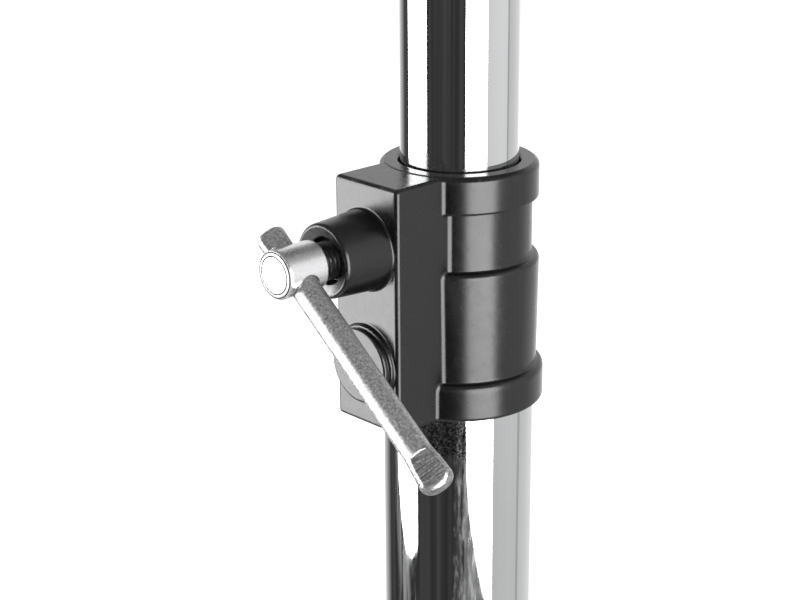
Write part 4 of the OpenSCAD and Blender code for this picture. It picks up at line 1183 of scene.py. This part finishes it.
def panel(name, radius, azimuths, low, high, material, steps=48):
    """Curved panel round the mast, in metres. Azimuth 0 is the camera's side, + its right. low is the height
    of its lower edge, or a list of (azimuth, height) along it."""
    azimuth = np.linspace(*azimuths, steps + 1)
    edge = np.interp(azimuth, *zip(*low)) if isinstance(low, list) else [low] * (steps + 1)
    points = []
    for a, z in zip(azimuth + STUDIO_TURN, edge):
        c, s = cos_sin(a)
        points += [(radius * c, radius * s, z), (radius * c, radius * s, high)]
    faces = [(2 * i, 2 * i + 1, 2 * i + 3, 2 * i + 2) for i in range(steps)]
    reflected(name, points, faces, material).data.shade_smooth()


def disc(name, z, material, steps=64):
    """Flat round panel over or under the stand."""
    around = np.arange(steps) * 2 * math.pi / steps
    points = [(CURTAIN_R * math.cos(t), CURTAIN_R * math.sin(t), z) for t in around]
    reflected(name, points, [range(steps)], material, 90 + STUDIO_TURN)


panel("curtain_low", CURTAIN_R, (-128, 54.0), 0.002, CURTAIN_TOP,
      glow("curtain_cloth", 0.035, 0.085, 1.6, (2, 2, 0.3)), 96)
panel("curtain_high", CURTAIN_R, (-128, 54.0), CURTAIN_TOP, CEILING,
      glow("curtain_grey", 0.16, 0.26, 1.6, (3, 3, 0.5)), 96)
panel("curtain_side", CURTAIN_R, (-160, -128), 0.002, CEILING,
      glow("curtain_side_grey", 1.0, 1.05, 1.6, share=fading("Y", -0.2, 0.06, 0.68, 0.95)), 32)
panel("softbox_left", PANEL_R, (-113.5, -64.8),
      [(-113.5, 0.6), (-108, 0.42), (-105.5, 0.379), (-103.5, 0.341), (-96.9, 0.291), (-88.3, 0.254),
       (-75.9, 0.245), (-64.8, 0.263)], SOFTBOX_TOP, glow("softbox_white", 8.5, 9.5, 1.2))
panel("softbox_right", PANEL_R, (11.3, 53.6),
      [(11.3, 0.42), (13.1, 0.35), (18, 0.299), (27.7, 0.248), (37.7, 0.208), (45, 0.19), (53.6, 0.18)],
      SOFTBOX_TOP, glow("softbox_white_right", 8.5, 9.5, 1.2))
panel("skirt_left", PANEL_R + 0.01, (-113.5, -64.8), 0.01, 0.7,
      glow("skirt_left_grey", 0.04, 0.45, 5, (1, 1, 0.6), (0.45, 0.6)))
panel("skirt_right", PANEL_R + 0.01, (9.5, 53.6), 0.01, 0.42, glow("skirt_right_grey", 0.18, 0.34, 3))
panel("card", PANEL_R, (53.6, 104), 0.01, CARD_TOP,
      glow("card_grey", 0.92, 1.04, 0.8, (1, 1, 0.1), share=fading("Z", 0.3, 0.74, 0.85, 1.0)), 32)
panel("card_far", PANEL_R, (104, 150), 0.01, CARD_TOP,
      glow("card_far_grey", 1.0, 1.1, 0.8, (1, 1, 0.1), share=fading("X", 0.68, 0.7, -0.39, 0.95)), 32)
for label, azimuths, low, high in (("low", (100.8, 106.0), 0.01, 0.55),
                                   ("high", (102.5, 107.5), 0.55, CARD_TOP)):
    panel("card_gap_" + label, PANEL_R - 0.02, azimuths, low, high, glow("gap_grey_" + label, 0.5, 0.6), 8)
disc("ceiling", CEILING, glow("ceiling_grey", 0.9, 1.1, 1.1, (1, 1, 1), share=dark_spot))
disc("floor_card", 0.004, glow("floor_grey", 0.42, 0.6, 1.5, (1, 1, 1)))


def lamp(name, at, size, power):
    """Soft lamp for matt surfaces, aimed at the clamp. Mirrors see the panels instead."""
    light = bpy.data.lights.new(name, "AREA")
    light.shape = "DISK"
    light.size = size
    light.energy = power
    obj = placed(name, light)
    at, aim = Vector(at), Vector((0, 0, 0.9))
    obj.matrix_world = Matrix.Translation(at) @ (aim - at).to_track_quat("-Z", "Y").to_matrix().to_4x4()
    obj.visible_glossy = False


lamp("key", (-1.6, -3.2, 3.4), 2.2, 95)
lamp("fill", (3.2, 0.6, 2.6), 2.4, 70)
lamp("top", (0.4, 0.8, 4.2), 3.0, 60)


def seen_directly(n, low, high):
    """low for matt light, high for camera, glossy and transmission rays."""
    rays = n.tree.nodes.new("ShaderNodeLightPath").outputs
    direct = n.maths("MAXIMUM", rays["Is Camera Ray"], rays["Is Glossy Ray"])
    return n.ranged(n.maths("MAXIMUM", direct, rays["Is Transmission Ray"]), 0, 1, low, high)


world = bpy.data.worlds.new("studio")
bpy.context.scene.world = world
world.use_nodes = True
sky = Nodes(world.node_tree)
background = sky.tree.nodes["Background"].inputs
background["Color"].default_value = (1, 1, 1, 1)
sky.feed(background["Strength"], seen_directly(sky, 0.55, 1.0))

floor_material, ground = new_material("studio_floor")
paint = ground.tree.nodes["Principled BSDF"].inputs
paint["Base Color"].default_value = (0.88, 0.88, 0.88, 1)
paint["Roughness"].default_value = 0.9
paint["Specular IOR Level"].default_value = 0.1
paint["Emission Color"].default_value = (1, 1, 1, 1)
ground.feed(paint["Emission Strength"], seen_directly(ground, 0.0, 0.6))
floor_mesh = bpy.data.meshes.new("studio_floor")
floor_mesh.from_pydata([(-30, -30, 0), (30, -30, 0), (30, 30, 0), (-30, 30, 0)], [], [(0, 1, 2, 3)])
floor_mesh.materials.append(floor_material)
floor = placed("studio_floor", floor_mesh)
floor.location.z = -0.0002

# Camera, where the photograph was taken from: degrees, millimetres from the clamp's top, pixels
VIEW_TURN, PITCH, ROLL = -1.83, 19.26, -0.402
BACK, ABOVE, FOCAL_PX = 602.0, 162.2, 1952.7
SENSOR, PHOTO_WIDTH = 36, 800
yaw, pitch, roll = (math.radians(a) for a in (VIEW_TURN, PITCH, ROLL))
ahead = Vector((math.sin(yaw) * math.cos(pitch), math.cos(yaw) * math.cos(pitch), -math.sin(pitch)))
level = Vector((math.cos(yaw), -math.sin(yaw), 0))
upward = level.cross(ahead)
right = level * math.cos(roll) + upward * math.sin(roll)
upward = upward * math.cos(roll) - level * math.sin(roll)
axes = Matrix((right, upward, -ahead)).transposed().to_4x4()
camera_data = bpy.data.cameras.new("camera")
camera_data.sensor_width = SENSOR
camera_data.lens = FOCAL_PX * SENSOR / PHOTO_WIDTH
camera_data.clip_start, camera_data.clip_end = 0.02, 60
camera = placed("camera", camera_data)
stand_off = Matrix.Translation(Vector((0, -BACK, CLAMP_Z + ABOVE)) * MM)
camera.matrix_world = turn("Z", 90 + STUDIO_TURN) @ stand_off @ axes
bpy.context.scene.camera = camera
bpy.context.scene.view_settings.view_transform = "Standard"
